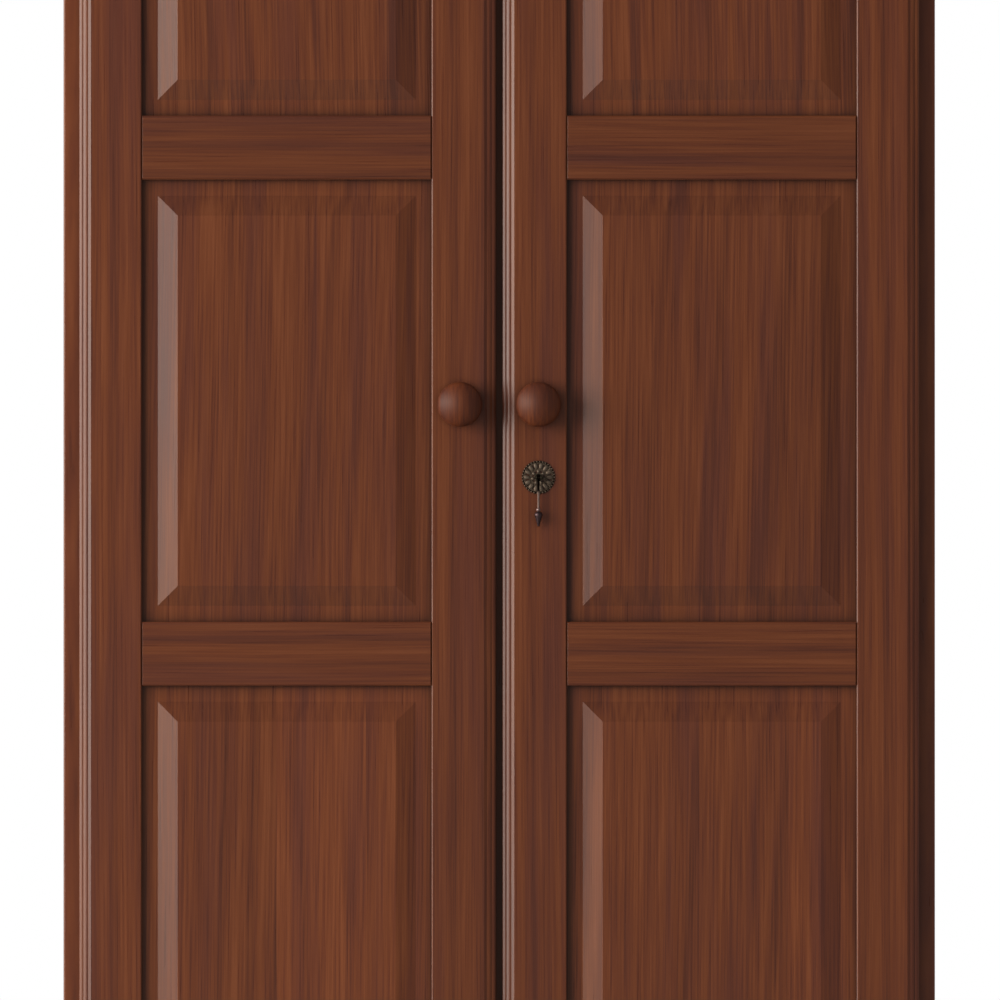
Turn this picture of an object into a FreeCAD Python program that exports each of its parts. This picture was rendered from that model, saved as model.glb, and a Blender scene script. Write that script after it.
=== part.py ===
import FreeCAD, Part
import os
import Sketcher

# Two-door wardrobe with raised-panel doors on pin pivots.
# The floor is at height zero, the doors face the negative Y side, lengths are in millimetres.

Vector = FreeCAD.Vector
Rotation = FreeCAD.Rotation
Placement = FreeCAD.Placement

SIZES = {
    # carcass
    "carcass_width": 900.0,
    "carcass_depth": 546.0,
    "side_thickness": 25.0,
    "side_edge_round": 2.0,
    "partition_thickness": 20.0,
    "back_thickness": 6.0,
    "back_lap": 12.0,
    "back_slack": 0.5,
    "back_screw_inset": 98.0,
    # base board and top board
    "board_thickness": 25.0,
    "board_nose": 12.0,
    "nose_quirk": 2.0,
    "nose_round": 10.0,
    # plinth
    "plinth_height": 90.0,
    "plinth_thickness": 22.0,
    # cornice and cap
    "cornice_height": 50.0,
    "cornice_thickness": 22.0,
    "cornice_projection": 24.0,
    "cornice_fillet": 5.0,
    "cornice_foot": 6.0,
    "cornice_lip": 4.0,
    "cornice_band": 14.0,
    "cap_thickness": 22.0,
    "cap_reveal": 5.0,
    # dowels in the carcass corners
    "dowel_radius": 4.0,
    "dowel_depth": 18.0,
    "dowel_end_slack": 0.5,
    "dowel_inset": 60.0,
    # door outline
    "door_reveal": 17.0,
    "meeting_gap": 7.0,
    "door_back_gap": 3.0,
    "door_end_gap": 3.0,
    "door_thickness": 20.0,
    "hinge_stile_width": 64.3,
    "meeting_stile_width": 66.2,
    "rail_width": 66.0,
    "opening_height": 456.0,
    "frame_chamfer": 1.2,
    "heel_chamfer": 3.0,
    # moulding round the door edge
    "mould_chamfer_width": 3.0,
    "mould_chamfer_depth": 1.5,
    "mould_shelf": 0.7,
    "mould_ovolo_width": 4.2,
    "mould_ovolo_depth": 1.5,
    "mould_ledge": 0.5,
    "mould_round_width": 3.6,
    "mould_round_depth": 1.6,
    # grooves, tenons and panels
    "groove_width": 6.0,
    "groove_depth": 10.0,
    "groove_setback": 7.0,
    "tenon_length": 9.5,
    "tenon_slack": 0.1,
    "tongue_entry": 9.0,
    "tongue_slack": 0.2,
    "panel_margin": 16.5,
    "panel_bevel": 20.6,
    "panel_field_setback": 1.5,
    # pivots
    "pivot_from_edge": 6.0,
    "pivot_from_back": 8.0,
    "pivot_pin_radius": 2.5,
    "pivot_pin_depth": 10.0,
    "pivot_running_gap": 0.05,
    "pivot_collar_radius": 4.5,
    "pivot_plate_length": 52.0,
    "pivot_plate_width": 10.0,
    "pivot_plate_thickness": 2.5,
    "pivot_plate_end": 1.5,
    "pivot_screw_first": 22.0,
    "pivot_screw_second": 41.5,
    "bush_radius": 5.0,
    "bush_length": 14.0,
    "bush_floor_gap": 1.0,
    # shared fit of let-in pieces
    "seat_slack": 0.1,
    # knobs
    "knob_radius": 23.2,
    "knob_projection": 36.0,
    "knob_seat_radius": 12.0,
    "knob_seat_height": 2.0,
    "knob_neck_radius": 9.0,
    "knob_neck_height": 7.0,
    "knob_equator": 20.0,
    "knob_shoulder": 10.0,
    "knob_inset": 37.0,
    "knob_drop": 4.0,
    "knob_screw_radius": 2.0,
    "knob_screw_entry": 16.0,
    "knob_screw_head_radius": 4.2,
    "knob_screw_head_height": 2.6,
    # wood screws
    "screw_radius": 1.5,
    "screw_head_radius": 3.0,
    "screw_head_depth": 1.8,
    "screw_length": 16.0,
    # shelves and their pins
    "shelf_thickness": 20.0,
    "shelf_side_slack": 1.0,
    "shelf_front_setback": 40.0,
    "shelf_pin_radius": 2.5,
    "shelf_pin_entry": 8.0,
    "shelf_pin_reach": 9.0,
    "shelf_pin_inset": 60.0,
    "left_shelf_lower_height": 500.0,
    "left_shelf_middle_height": 905.0,
    "left_shelf_upper_height": 1310.0,
    "hat_shelf_height": 1430.0,
    # hanging rail
    "rail_radius": 12.5,
    "rail_wall": 1.5,
    "rail_below_shelf": 70.0,
    "rail_setback": 270.0,
    "flange_radius": 25.0,
    "flange_thickness": 4.0,
    "flange_cup_radius": 16.0,
    "flange_cup_depth": 14.0,
    "flange_screw_offset": 20.0,
    # magnetic catches
    "catch_inset": 14.0,
    "catch_length": 38.0,
    "catch_screw_inset": 6.4,
    "catch_height": 14.0,
    "catch_depth": 16.0,
    "catch_plate_thickness": 1.2,
    "catch_plate_height": 16.0,
    "catch_plate_below_top": 14.0,
    "catch_touch_gap": 0.2,
    # lock
    "lock_drop": 75.0,
    "lock_case_left": 24.0,
    "lock_case_right": 20.0,
    "lock_case_rise": 17.0,
    "lock_case_fall": 27.0,
    "lock_case_depth": 17.0,
    "lock_wall": 1.6,
    "lock_ear": 12.0,
    "lock_bolt_travel": 10.5,
    "lock_bolt_height": 11.0,
    "lock_bolt_thickness": 5.0,
    "lock_bolt_setback": 7.0,
    "lock_bolt_below_key": 0.8,
    "lock_bolt_tail": 16.0,
    "lock_bolt_lead": 0.5,
    "lock_notch_width": 7.0,
    "lock_slide_gap": 0.15,
    "mortise_slack": 0.6,
    "mortise_floor_gap": 2.0,
    "keeper_thickness": 1.5,
    "keeper_margin": 9.0,
    "keeper_side_margin": 3.0,
    # rosette and keyhole
    "rosette_radius": 17.0,
    "rosette_thickness": 2.4,
    "rosette_rim": 1.8,
    "rosette_dish": 0.9,
    "rosette_petal_radius": 1.9,
    "rosette_petal_circle": 10.6,
    "ferrule_radius": 4.2,
    "ferrule_length": 5.0,
    "keyhole_slot_width": 3.0,
    # key and its hanging bow
    "key_radius": 2.4,
    "key_bit_reach": 8.0,
    "key_bit_thickness": 1.8,
    "key_bit_width": 3.0,
    "key_tip_radius": 1.6,
    "key_head_radius": 3.6,
    "key_head_start": 3.2,
    "key_head_length": 8.6,
    "key_slot_width": 3.2,
    "drop_pivot_out": 8.0,
    "drop_pin_radius": 0.9,
    "drop_eye_radius": 2.6,
    "drop_eye_thickness": 2.8,
    "drop_rod_radius": 1.1,
    "drop_bead_radius": 2.3,
    "drop_bead_below": 33.5,
    "drop_end_radius": 4.2,
    "drop_end_length": 17.0,
    "drop_shoulder": 2.1,
}


class Length:
    """A length of the wardrobe: the formula that gives it, and the number it gives now."""

    def __init__(self, text, value):
        self.text = text
        self.value = value

    def __add__(self, other):
        other = length(other)
        return Length(f"({self.text} + {other.text})", self.value + other.value)

    def __radd__(self, other):
        return length(other) + self

    def __sub__(self, other):
        other = length(other)
        return Length(f"({self.text} - {other.text})", self.value - other.value)

    def __rsub__(self, other):
        return length(other) - self

    def __mul__(self, other):
        other = length(other)
        return Length(f"({self.text} * {other.text})", self.value * other.value)

    def __rmul__(self, other):
        return length(other) * self

    def __truediv__(self, other):
        other = length(other)
        return Length(f"({self.text} / {other.text})", self.value / other.value)

    def __neg__(self):
        return length(0) - self


def length(amount):
    """A plain number as a Length; a Length is returned as it is."""
    if isinstance(amount, Length):
        return amount
    return Length(f"({float(amount)!r})", float(amount))


class SizeTable:
    """The driving sizes, each under its own name."""

    def __init__(self, document, sizes):
        sheet = document.addObject("Spreadsheet::Sheet", "Sizes")
        for row, (name, value) in enumerate(sizes.items(), start=1):
            sheet.set(f"A{row}", name)
            sheet.set(f"B{row}", str(value))
            sheet.setAlias(f"B{row}", name)
            setattr(self, name, Length(f"Sizes.{name}", float(value)))


class Corner:
    """A corner of an outline. Centre and radius belong to a round edge that leaves it."""

    def __init__(self, across, deep, centre=None, radius=None):
        self.point = (length(across), length(deep))
        self.centre = centre
        self.radius = radius

    def moved(self, place):
        """The same corner after a change of position."""
        centre = None
        if self.centre is not None:
            centre = place(length(self.centre[0]), length(self.centre[1]))
        return Corner(*place(*self.point), centre, self.radius)


def moved(corners, place):
    """A run of corners after a change of position."""
    return [corner.moved(place) for corner in corners]


doc = FreeCAD.newDocument("wardrobe")
size = SizeTable(doc, SIZES)
doc.recompute()

TURNED = {
    "up": Rotation(),
    "down": Rotation(Vector(1, 0, 0), 180),
    "right": Rotation(Vector(0, 1, 0), 90),
    "left": Rotation(Vector(0, 1, 0), -90),
    "back": Rotation(Vector(1, 0, 0), -90),
    "front": Rotation(Vector(1, 0, 0), 90),
}
OPPOSITE = {"up": "down", "down": "up", "right": "left", "left": "right", "back": "front", "front": "back"}
OVERRUN = 5.0
BACK_SCREW_ROWS = 4
ROSETTE_PETALS = 8

pieces = {}
bores = {}


def bind(target, prop, amount):
    """Ties one measure of a piece to its formula."""
    target.setExpression(prop, length(amount).text)


def put(target, corner, turned="up"):
    """Stands a simple solid at a point, turned to face one way."""
    target.Placement = Placement(Vector(*(length(c).value for c in corner)), TURNED[turned])
    for axis, amount in zip("xyz", corner):
        bind(target, f"Placement.Base.{axis}", amount)
    return target


def block(xs, ys, zs):
    """A square-edged block between two positions on each axis."""
    box = doc.addObject("Part::Box", "block")
    for prop, (low, high) in zip(("Length", "Width", "Height"), (xs, ys, zs)):
        bind(box, prop, high - low)
    return put(box, (xs[0], ys[0], zs[0]))


def rod(radius, start, facing, reach):
    """A round rod from a point, running one way."""
    cylinder = doc.addObject("Part::Cylinder", "rod")
    bind(cylinder, "Radius", radius)
    bind(cylinder, "Height", reach)
    return put(cylinder, start, facing)


def cone(start_radius, end_radius, start, facing, reach):
    """A tapered round piece from a point, running one way."""
    taper = doc.addObject("Part::Cone", "taper")
    bind(taper, "Radius1", start_radius)
    bind(taper, "Radius2", end_radius)
    bind(taper, "Height", reach)
    return put(taper, start, facing)


def ball(radius, centre):
    """A full ball."""
    sphere = doc.addObject("Part::Sphere", "ball")
    bind(sphere, "Radius", radius)
    return put(sphere, centre)


def joined(members):
    """Several solids made into one."""
    if len(members) == 1:
        return members[0]
    whole = doc.addObject("Part::MultiFuse", "joined")
    whole.Shapes = members
    return whole


def less(base, tools):
    """A solid with other solids taken away."""
    rest = doc.addObject("Part::Cut", "less")
    rest.Base = base
    rest.Tool = joined(tools)
    return rest


def group(members):
    """Separate solids kept together under one name."""
    whole = doc.addObject("Part::Compound", "group")
    whole.Links = members
    return whole


def span(hand, low, high):
    """A stretch across the wardrobe, given for the right side, on either side."""
    if hand > 0:
        return (low, high)
    return (-high, -low)


def bore(name, *tools):
    """Hollows still to be cut in a piece."""
    bores.setdefault(name, []).extend(tools)


def origin_plane(body, role):
    """One of a body's own three planes."""
    return next(plane for plane in body.Origin.OriginFeatures if plane.Role == role)


def draw_edge(sketch, start, end):
    """One straight or round edge between two corners, and which of its ends is the start."""
    a = Vector(start.point[0].value, start.point[1].value, 0)
    b = Vector(end.point[0].value, end.point[1].value, 0)
    if start.centre is None:
        return sketch.addGeometry(Part.LineSegment(a, b), False), 1
    c = Vector(start.centre[0].value, start.centre[1].value, 0)
    swung_left = (a - c).cross(b - c).z > 0
    first, last = (a, b) if swung_left else (b, a)
    circle = Part.Circle(c, Vector(0, 0, 1), start.radius.value)
    arc = Part.ArcOfCircle(circle, circle.parameter(first), circle.parameter(last))
    return sketch.addGeometry(arc, False), 1 if swung_left else 2


def outline(body, role, loops, raised=None):
    """Closed outlines on one of a body's planes, every corner tied to its formula."""
    sketch = body.newObject("Sketcher::SketchObject", "outline")
    sketch.AttachmentSupport = [(origin_plane(body, role), "")]
    sketch.MapMode = "FlatFace"
    if raised is not None:
        for axis, amount in zip("xyz", raised):
            bind(sketch, f"AttachmentOffset.Base.{axis}", amount)
    for corners in loops:
        edges = [draw_edge(sketch, a, b) for a, b in zip(corners, corners[1:] + corners[:1])]
        for (edge, first), (after, after_first) in zip(edges, edges[1:] + edges[:1]):
            sketch.addConstraint(Sketcher.Constraint("Coincident", edge, 3 - first, after, after_first))
        for corner, (edge, first) in zip(corners, edges):
            for kind, amount in zip(("DistanceX", "DistanceY"), corner.point):
                rule = Sketcher.Constraint(kind, -1, 1, edge, first, amount.value)
                bind(sketch, f"Constraints[{sketch.addConstraint(rule)}]", amount)
            if corner.radius is not None:
                rule = Sketcher.Constraint("Radius", edge, corner.radius.value)
                bind(sketch, f"Constraints[{sketch.addConstraint(rule)}]", corner.radius)
    return sketch


def new_body():
    """An empty solid to be shaped."""
    return doc.addObject("PartDesign::Body", "body")


def run_out(body, role, corners, start, reach):
    """A section run out to a length from where it starts."""
    pad = body.newObject("PartDesign::Pad", "run")
    pad.Profile = outline(body, role, [corners], (0, 0, start))
    bind(pad, "Length", reach)
    return body


def run_both_ways(body, role, corners, middle, reach):
    """A section run out half its length to either side."""
    pad = body.newObject("PartDesign::Pad", "run")
    pad.Profile = outline(body, role, [corners], (0, 0, middle))
    pad.SideType = "Symmetric"
    bind(pad, "Length", reach)
    return body


def trim(body, role, loops):
    """Outlines cut right through a body."""
    pocket = body.newObject("PartDesign::Pocket", "trim")
    pocket.Profile = outline(body, role, loops)
    pocket.Type = "ThroughAll"
    pocket.SideType = "Symmetric"
    return body


def turned_piece(corners, centre):
    """A piece turned on a lathe about a line that runs front to back."""
    body = new_body()
    turn = body.newObject("PartDesign::Revolution", "turn")
    profile = outline(body, "XY_Plane", [corners], centre)
    turn.Profile = profile
    turn.ReferenceAxis = (profile, ["V_Axis"])
    turn.Angle = 360
    return body


def ovolo(across, deep, width, depth):
    """A round edge that leaves the face level and falls toward the outer edge."""
    radius = (width * width + depth * depth) / (2 * depth)
    return Corner(across, deep, (length(across), deep + radius), radius)


# Positions across the wardrobe, for the right side.
half_width = size.carcass_width / 2
side_inner = half_width - size.side_thickness
door_outer = half_width - size.door_reveal
door_inner = size.meeting_gap / 2
opening_outer = door_outer - size.hinge_stile_width
opening_inner = door_inner + size.meeting_stile_width
partition_half = size.partition_thickness / 2
pivot_x = door_outer - size.pivot_from_edge
knob_x = door_inner + size.knob_inset

# Positions from front to back; the knob fronts and the back are equally far from the middle.
door_stand = size.door_back_gap + size.door_thickness
case_front = (door_stand + size.knob_projection - size.carcass_depth) / 2
case_back = case_front + size.carcass_depth
back_face = case_back - size.back_thickness
door_back = case_front - size.door_back_gap
door_face = door_back - size.door_thickness
pivot_y = door_back - size.pivot_from_back

# Heights.
base_top = size.plinth_height + size.board_thickness
door_bottom = base_top + size.door_end_gap
door_height = 4 * size.rail_width + 3 * size.opening_height
door_top = door_bottom + door_height
top_under = door_top + size.door_end_gap
top_upper = top_under + size.board_thickness
cornice_top = top_upper + size.cornice_height
knob_z = door_bottom + door_height / 2 - size.knob_drop
key_z = knob_z - size.lock_drop

# Moulding round the door edge: distance in from the edge, depth behind the face.
round_start = size.mould_round_width
ovolo_end = round_start + size.mould_ledge
ovolo_start = ovolo_end + size.mould_ovolo_width
chamfer_end = ovolo_start + size.mould_shelf
mould_width = chamfer_end + size.mould_chamfer_width
ledge_depth = size.mould_chamfer_depth + size.mould_ovolo_depth
mould_depth = ledge_depth + size.mould_round_depth
DOOR_MOULDING = [
    Corner(mould_width, 0),
    Corner(chamfer_end, size.mould_chamfer_depth),
    ovolo(ovolo_start, size.mould_chamfer_depth, size.mould_ovolo_width, size.mould_ovolo_depth),
    Corner(ovolo_end, ledge_depth),
    ovolo(round_start, ledge_depth, size.mould_round_width, size.mould_round_depth),
    Corner(0, mould_depth),
]
DOOR_MOULDING_WASTE = DOOR_MOULDING + [
    Corner(-OVERRUN, mould_depth),
    Corner(-OVERRUN, -OVERRUN),
    Corner(mould_width, -OVERRUN),
]

# Nose of the base board, the top board and the cap: in from the edge, away from the moulded face.
nose_width = size.nose_quirk + size.nose_round
NOSE_WASTE = [
    Corner(nose_width, 0),
    Corner(nose_width, size.nose_quirk),
    ovolo(size.nose_round, size.nose_quirk, size.nose_round, size.nose_round),
    Corner(0, nose_width),
    Corner(-OVERRUN, nose_width),
    Corner(-OVERRUN, -OVERRUN),
    Corner(nose_width, -OVERRUN),
]


def moulded_board(half, front, back, low, thickness, moulded_above):
    """A board with its nose worked on the front and both ends."""
    body = new_body()
    plan = [Corner(-half, front), Corner(half, front), Corner(half, back), Corner(-half, back)]
    run_out(body, "XY_Plane", plan, low, thickness)

    def level(away):
        return low + thickness - away if moulded_above else low + away

    trim(body, "YZ_Plane", [moved(NOSE_WASTE, lambda u, v: (front + u, level(v)))])
    right_end = moved(NOSE_WASTE, lambda u, v: (half - u, level(v)))
    left_end = moved(NOSE_WASTE, lambda u, v: (u - half, level(v)))
    return trim(body, "XZ_Plane", [right_end, left_end])


def wood_screw(at, facing, slack=0):
    """A countersunk wood screw from its head, or with slack the hole that takes it."""
    head = cone(size.screw_head_radius + slack, size.screw_radius + slack, at, facing, size.screw_head_depth)
    shank = rod(size.screw_radius + slack, at, facing, size.screw_length + slack)
    return joined([head, shank])


def fasten(at, facing, *names):
    """A wood screw, with its hole in every piece that it passes through."""
    hole = wood_screw(at, facing, size.seat_slack)
    for name in names:
        bore(name, hole)
    return wood_screw(at, facing)


# Plinth frame, mitred at the front corners.
plinth_inner = half_width - size.plinth_thickness
plinth_front_inner = door_face + size.plinth_thickness
plinth_back_inner = case_back - size.plinth_thickness
pieces["plinth_front"] = run_out(new_body(), "XY_Plane", [
    Corner(-half_width, door_face),
    Corner(half_width, door_face),
    Corner(plinth_inner, plinth_front_inner),
    Corner(-plinth_inner, plinth_front_inner),
], length(0), size.plinth_height)
for hand, name in ((-1, "plinth_left"), (1, "plinth_right")):
    pieces[name] = run_out(new_body(), "XY_Plane", [
        Corner(hand * half_width, door_face),
        Corner(hand * half_width, case_back),
        Corner(hand * plinth_inner, case_back),
        Corner(hand * plinth_inner, plinth_front_inner),
    ], length(0), size.plinth_height)
pieces["plinth_back"] = block(
    (-plinth_inner, plinth_inner), (plinth_back_inner, case_back), (length(0), size.plinth_height))

# Base board and top board, with a rebate for the back and seats for the pivot bushes.
board_half = half_width + size.board_nose
board_front = door_face - size.board_nose
back_half = side_inner + size.back_lap
pieces["base_board"] = moulded_board(
    board_half, board_front, case_back, size.plinth_height, size.board_thickness, True)
pieces["top_board"] = moulded_board(
    board_half, board_front, case_back, top_under, size.board_thickness, False)
back_bottom = base_top - size.back_lap
back_top = top_under + size.back_lap
for name, levels in (("base_board", (back_bottom, base_top + OVERRUN)),
                     ("top_board", (top_under - OVERRUN, back_top))):
    bore(name, block((-back_half, back_half), (back_face, case_back + OVERRUN), levels))

# Sides, with rounded front edges and a rebate for the back.
for hand, name in ((-1, "left_side"), (1, "right_side")):
    edge = size.side_edge_round
    section = [
        Corner(half_width - edge, case_front, (half_width - edge, case_front + edge), edge),
        Corner(half_width, case_front + edge),
        Corner(half_width, case_back),
        Corner(back_half, case_back),
        Corner(back_half, back_face),
        Corner(side_inner, back_face),
        Corner(side_inner, case_front + edge, (side_inner + edge, case_front + edge), edge),
        Corner(side_inner + edge, case_front),
    ]
    section = moved(section, lambda x, y, hand=hand: (hand * x, y))
    pieces[name] = run_out(new_body(), "XY_Plane", section, base_top, top_under - base_top)

pieces["centre_partition"] = block(
    (-partition_half, partition_half), (case_front, back_face), (base_top, top_under))
pieces["back_panel"] = block(
    (size.back_slack - back_half, back_half - size.back_slack), (back_face, case_back),
    (back_bottom, back_top - size.back_slack))

# Cornice on the top board, mitred at the front corners, and the cap over it.
cornice_inner = half_width - size.cornice_thickness
cornice_outer = half_width + size.cornice_projection
cornice_front_outer = door_face - size.cornice_projection
cornice_front_inner = door_face + size.cornice_thickness
cove_width = size.cornice_projection - size.cornice_lip - size.cornice_fillet
cove_height = size.cornice_height - size.cornice_band - size.cornice_foot
cove_radius = (cove_width * cove_width + cove_height * cove_height) / (2 * cove_width)
cove_end = size.cornice_projection - size.cornice_lip
band_foot = size.cornice_height - size.cornice_band
CORNICE_WASTE = [
    Corner(size.cornice_fillet, -OVERRUN),
    Corner(size.cornice_fillet, size.cornice_foot,
           (size.cornice_fillet + cove_radius, size.cornice_foot), cove_radius),
    Corner(cove_end, band_foot),
    Corner(size.cornice_projection + OVERRUN, band_foot),
    Corner(size.cornice_projection + OVERRUN, -OVERRUN),
]
cornice_front = run_out(new_body(), "XY_Plane", [
    Corner(-cornice_outer, cornice_front_outer),
    Corner(cornice_outer, cornice_front_outer),
    Corner(cornice_inner, cornice_front_inner),
    Corner(-cornice_inner, cornice_front_inner),
], top_upper, size.cornice_height)
pieces["cornice_front"] = trim(
    cornice_front, "YZ_Plane", [moved(CORNICE_WASTE, lambda p, q: (door_face - p, top_upper + q))])
for hand, name in ((-1, "cornice_left"), (1, "cornice_right")):
    cornice_side = run_out(new_body(), "XY_Plane", [
        Corner(hand * cornice_outer, cornice_front_outer),
        Corner(hand * cornice_outer, case_back),
        Corner(hand * cornice_inner, case_back),
        Corner(hand * cornice_inner, cornice_front_inner),
    ], top_upper, size.cornice_height)
    waste = moved(CORNICE_WASTE, lambda p, q, hand=hand: (hand * (half_width + p), top_upper + q))
    pieces[name] = trim(cornice_side, "XZ_Plane", [waste])
pieces["cap_board"] = moulded_board(
    cornice_outer + size.cap_reveal, cornice_front_outer - size.cap_reveal, case_back,
    cornice_top, size.cap_thickness, True)

# Dowels that join the sides and the partition to the base board and the top board.
dowels = []
dowel_hole_depth = size.dowel_depth + size.dowel_end_slack
dowel_hole_radius = size.dowel_radius + size.seat_slack
dowel_rows = (
    ("left_side", -(half_width + side_inner) / 2),
    ("centre_partition", length(0)),
    ("right_side", (half_width + side_inner) / 2),
)
for name, x in dowel_rows:
    for y in (case_front + size.dowel_inset, (case_front + back_face) / 2, back_face - size.dowel_inset):
        for joint, board in ((base_top, "base_board"), (top_under, "top_board")):
            foot = (x, y, joint - size.dowel_depth)
            dowels.append(rod(size.dowel_radius, foot, "up", 2 * size.dowel_depth))
            hole = rod(dowel_hole_radius, (x, y, joint - dowel_hole_depth), "up", 2 * dowel_hole_depth)
            bore(name, hole)
            bore(board, hole)
pieces["carcass_dowels"] = group(dowels)

case_screws = []

# Screws that hold the back in its rebate.
back_screw_x = side_inner + size.back_lap / 2
back_screw_columns = (
    ("left_side", -back_screw_x),
    ("centre_partition", length(0)),
    ("right_side", back_screw_x),
)
back_screw_foot = base_top + size.back_screw_inset
back_screw_pitch = (top_under - size.back_screw_inset - back_screw_foot) / (BACK_SCREW_ROWS - 1)
for row in range(BACK_SCREW_ROWS):
    z = back_screw_foot + row * back_screw_pitch
    for name, x in back_screw_columns:
        case_screws.append(fasten((x, case_back, z), "front", "back_panel", name))

# Shelves on pins: three in the left compartment and a hat shelf in the right one.
shelf_front = case_front + size.shelf_front_setback
shelf_back = back_face - size.shelf_side_slack
shelves = (
    (-1, "left_shelf_lower", "left_side", size.left_shelf_lower_height),
    (-1, "left_shelf_middle", "left_side", size.left_shelf_middle_height),
    (-1, "left_shelf_upper", "left_side", size.left_shelf_upper_height),
    (1, "hat_shelf", "right_side", size.hat_shelf_height),
)
shelf_pins = []
pin_length = size.shelf_pin_entry + size.shelf_pin_reach
for hand, name, side, height in shelves:
    across = span(hand, partition_half + size.shelf_side_slack, side_inner - size.shelf_side_slack)
    pieces[name] = block(across, (shelf_front, shelf_back), (height, height + size.shelf_thickness))
    outward, inward = ("right", "left") if hand > 0 else ("left", "right")
    for y in (shelf_front + size.shelf_pin_inset, shelf_back - size.shelf_pin_inset):
        z = height - size.shelf_pin_radius
        for holder, x, facing in ((side, hand * side_inner, inward),
                                  ("centre_partition", hand * partition_half, outward)):
            toward = 1 if facing == "right" else -1
            start = (x - toward * size.shelf_pin_entry, y, z)
            shelf_pins.append(rod(size.shelf_pin_radius, start, facing, pin_length))
            bore(holder, rod(size.shelf_pin_radius + size.seat_slack, start, facing, pin_length))
pieces["shelf_pins"] = group(shelf_pins)

# Hanging rail in the right compartment, in a flanged cup at each end.
rail_y = case_front + size.rail_setback
rail_z = size.hat_shelf_height - size.rail_below_shelf
rail_start = partition_half + size.flange_thickness
rail_end = side_inner - size.flange_thickness
pieces["hanging_rail"] = less(
    rod(size.rail_radius, (rail_start, rail_y, rail_z), "right", rail_end - rail_start),
    [rod(size.rail_radius - size.rail_wall, (rail_start - OVERRUN, rail_y, rail_z), "right",
         rail_end - rail_start + 2 * OVERRUN)])
flanges = []
for holder, x, facing in (("centre_partition", partition_half, "right"), ("right_side", side_inner, "left")):
    toward = 1 if facing == "right" else -1
    cup_start = x + toward * size.flange_thickness
    flange = joined([
        rod(size.flange_radius, (x, rail_y, rail_z), facing, size.flange_thickness),
        rod(size.flange_cup_radius, (x, rail_y, rail_z), facing,
            size.flange_thickness + size.flange_cup_depth),
    ])
    hollow = rod(size.rail_radius + size.seat_slack, (cup_start, rail_y, rail_z), facing,
                 size.flange_cup_depth + OVERRUN)
    flange_holes = [hollow]
    for side in (-1, 1):
        at = (cup_start, rail_y + side * size.flange_screw_offset, rail_z)
        flange_holes.append(wood_screw(at, OPPOSITE[facing], size.seat_slack))
        case_screws.append(fasten(at, OPPOSITE[facing], holder))
    flanges.append(less(flange, flange_holes))
pieces["rail_flanges"] = group(flanges)

# Bushes for the door pivots.
bushes = []
for hand in (-1, 1):
    for board, z, facing in (("base_board", base_top, "down"), ("top_board", top_under, "up")):
        at = (hand * pivot_x, pivot_y, z)
        sleeve = rod(size.bush_radius, at, facing, size.bush_length)
        hole = rod(size.pivot_pin_radius + size.pivot_running_gap, at, facing,
                   size.pivot_pin_depth + size.bush_floor_gap)
        bushes.append(less(sleeve, [hole]))
        bore(board, rod(size.bush_radius + size.seat_slack, at, facing, size.bush_length))
pieces["pivot_bushes"] = group(bushes)

# Panel and rail levels, from the bottom of the door up.
rail_feet = [door_bottom + step * (size.rail_width + size.opening_height) for step in range(4)]
opening_feet = [foot + size.rail_width for foot in rail_feet[:3]]
groove_front = size.groove_setback
groove_back = size.groove_setback + size.groove_width


def stile(outer_edge, width, heel):
    """An upright of the door frame, moulded on its outer edge and on both ends."""
    chamfer = size.frame_chamfer
    section = DOOR_MOULDING + [
        Corner(0, size.door_thickness - heel),
        Corner(heel, size.door_thickness),
        Corner(width, size.door_thickness),
        Corner(width, groove_back),
        Corner(width - size.groove_depth, groove_back),
        Corner(width - size.groove_depth, groove_front),
        Corner(width, groove_front),
        Corner(width, chamfer),
        Corner(width - chamfer, 0),
    ]
    section = moved(section, lambda u, v: (outer_edge(u), door_face + v))
    body = run_out(new_body(), "XY_Plane", section, door_bottom, door_height)
    upper = moved(DOOR_MOULDING_WASTE, lambda u, v: (door_face + v, door_top - u))
    lower = moved(DOOR_MOULDING_WASTE, lambda u, v: (door_face + v, door_bottom + u))
    return trim(body, "YZ_Plane", [upper, lower])


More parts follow.
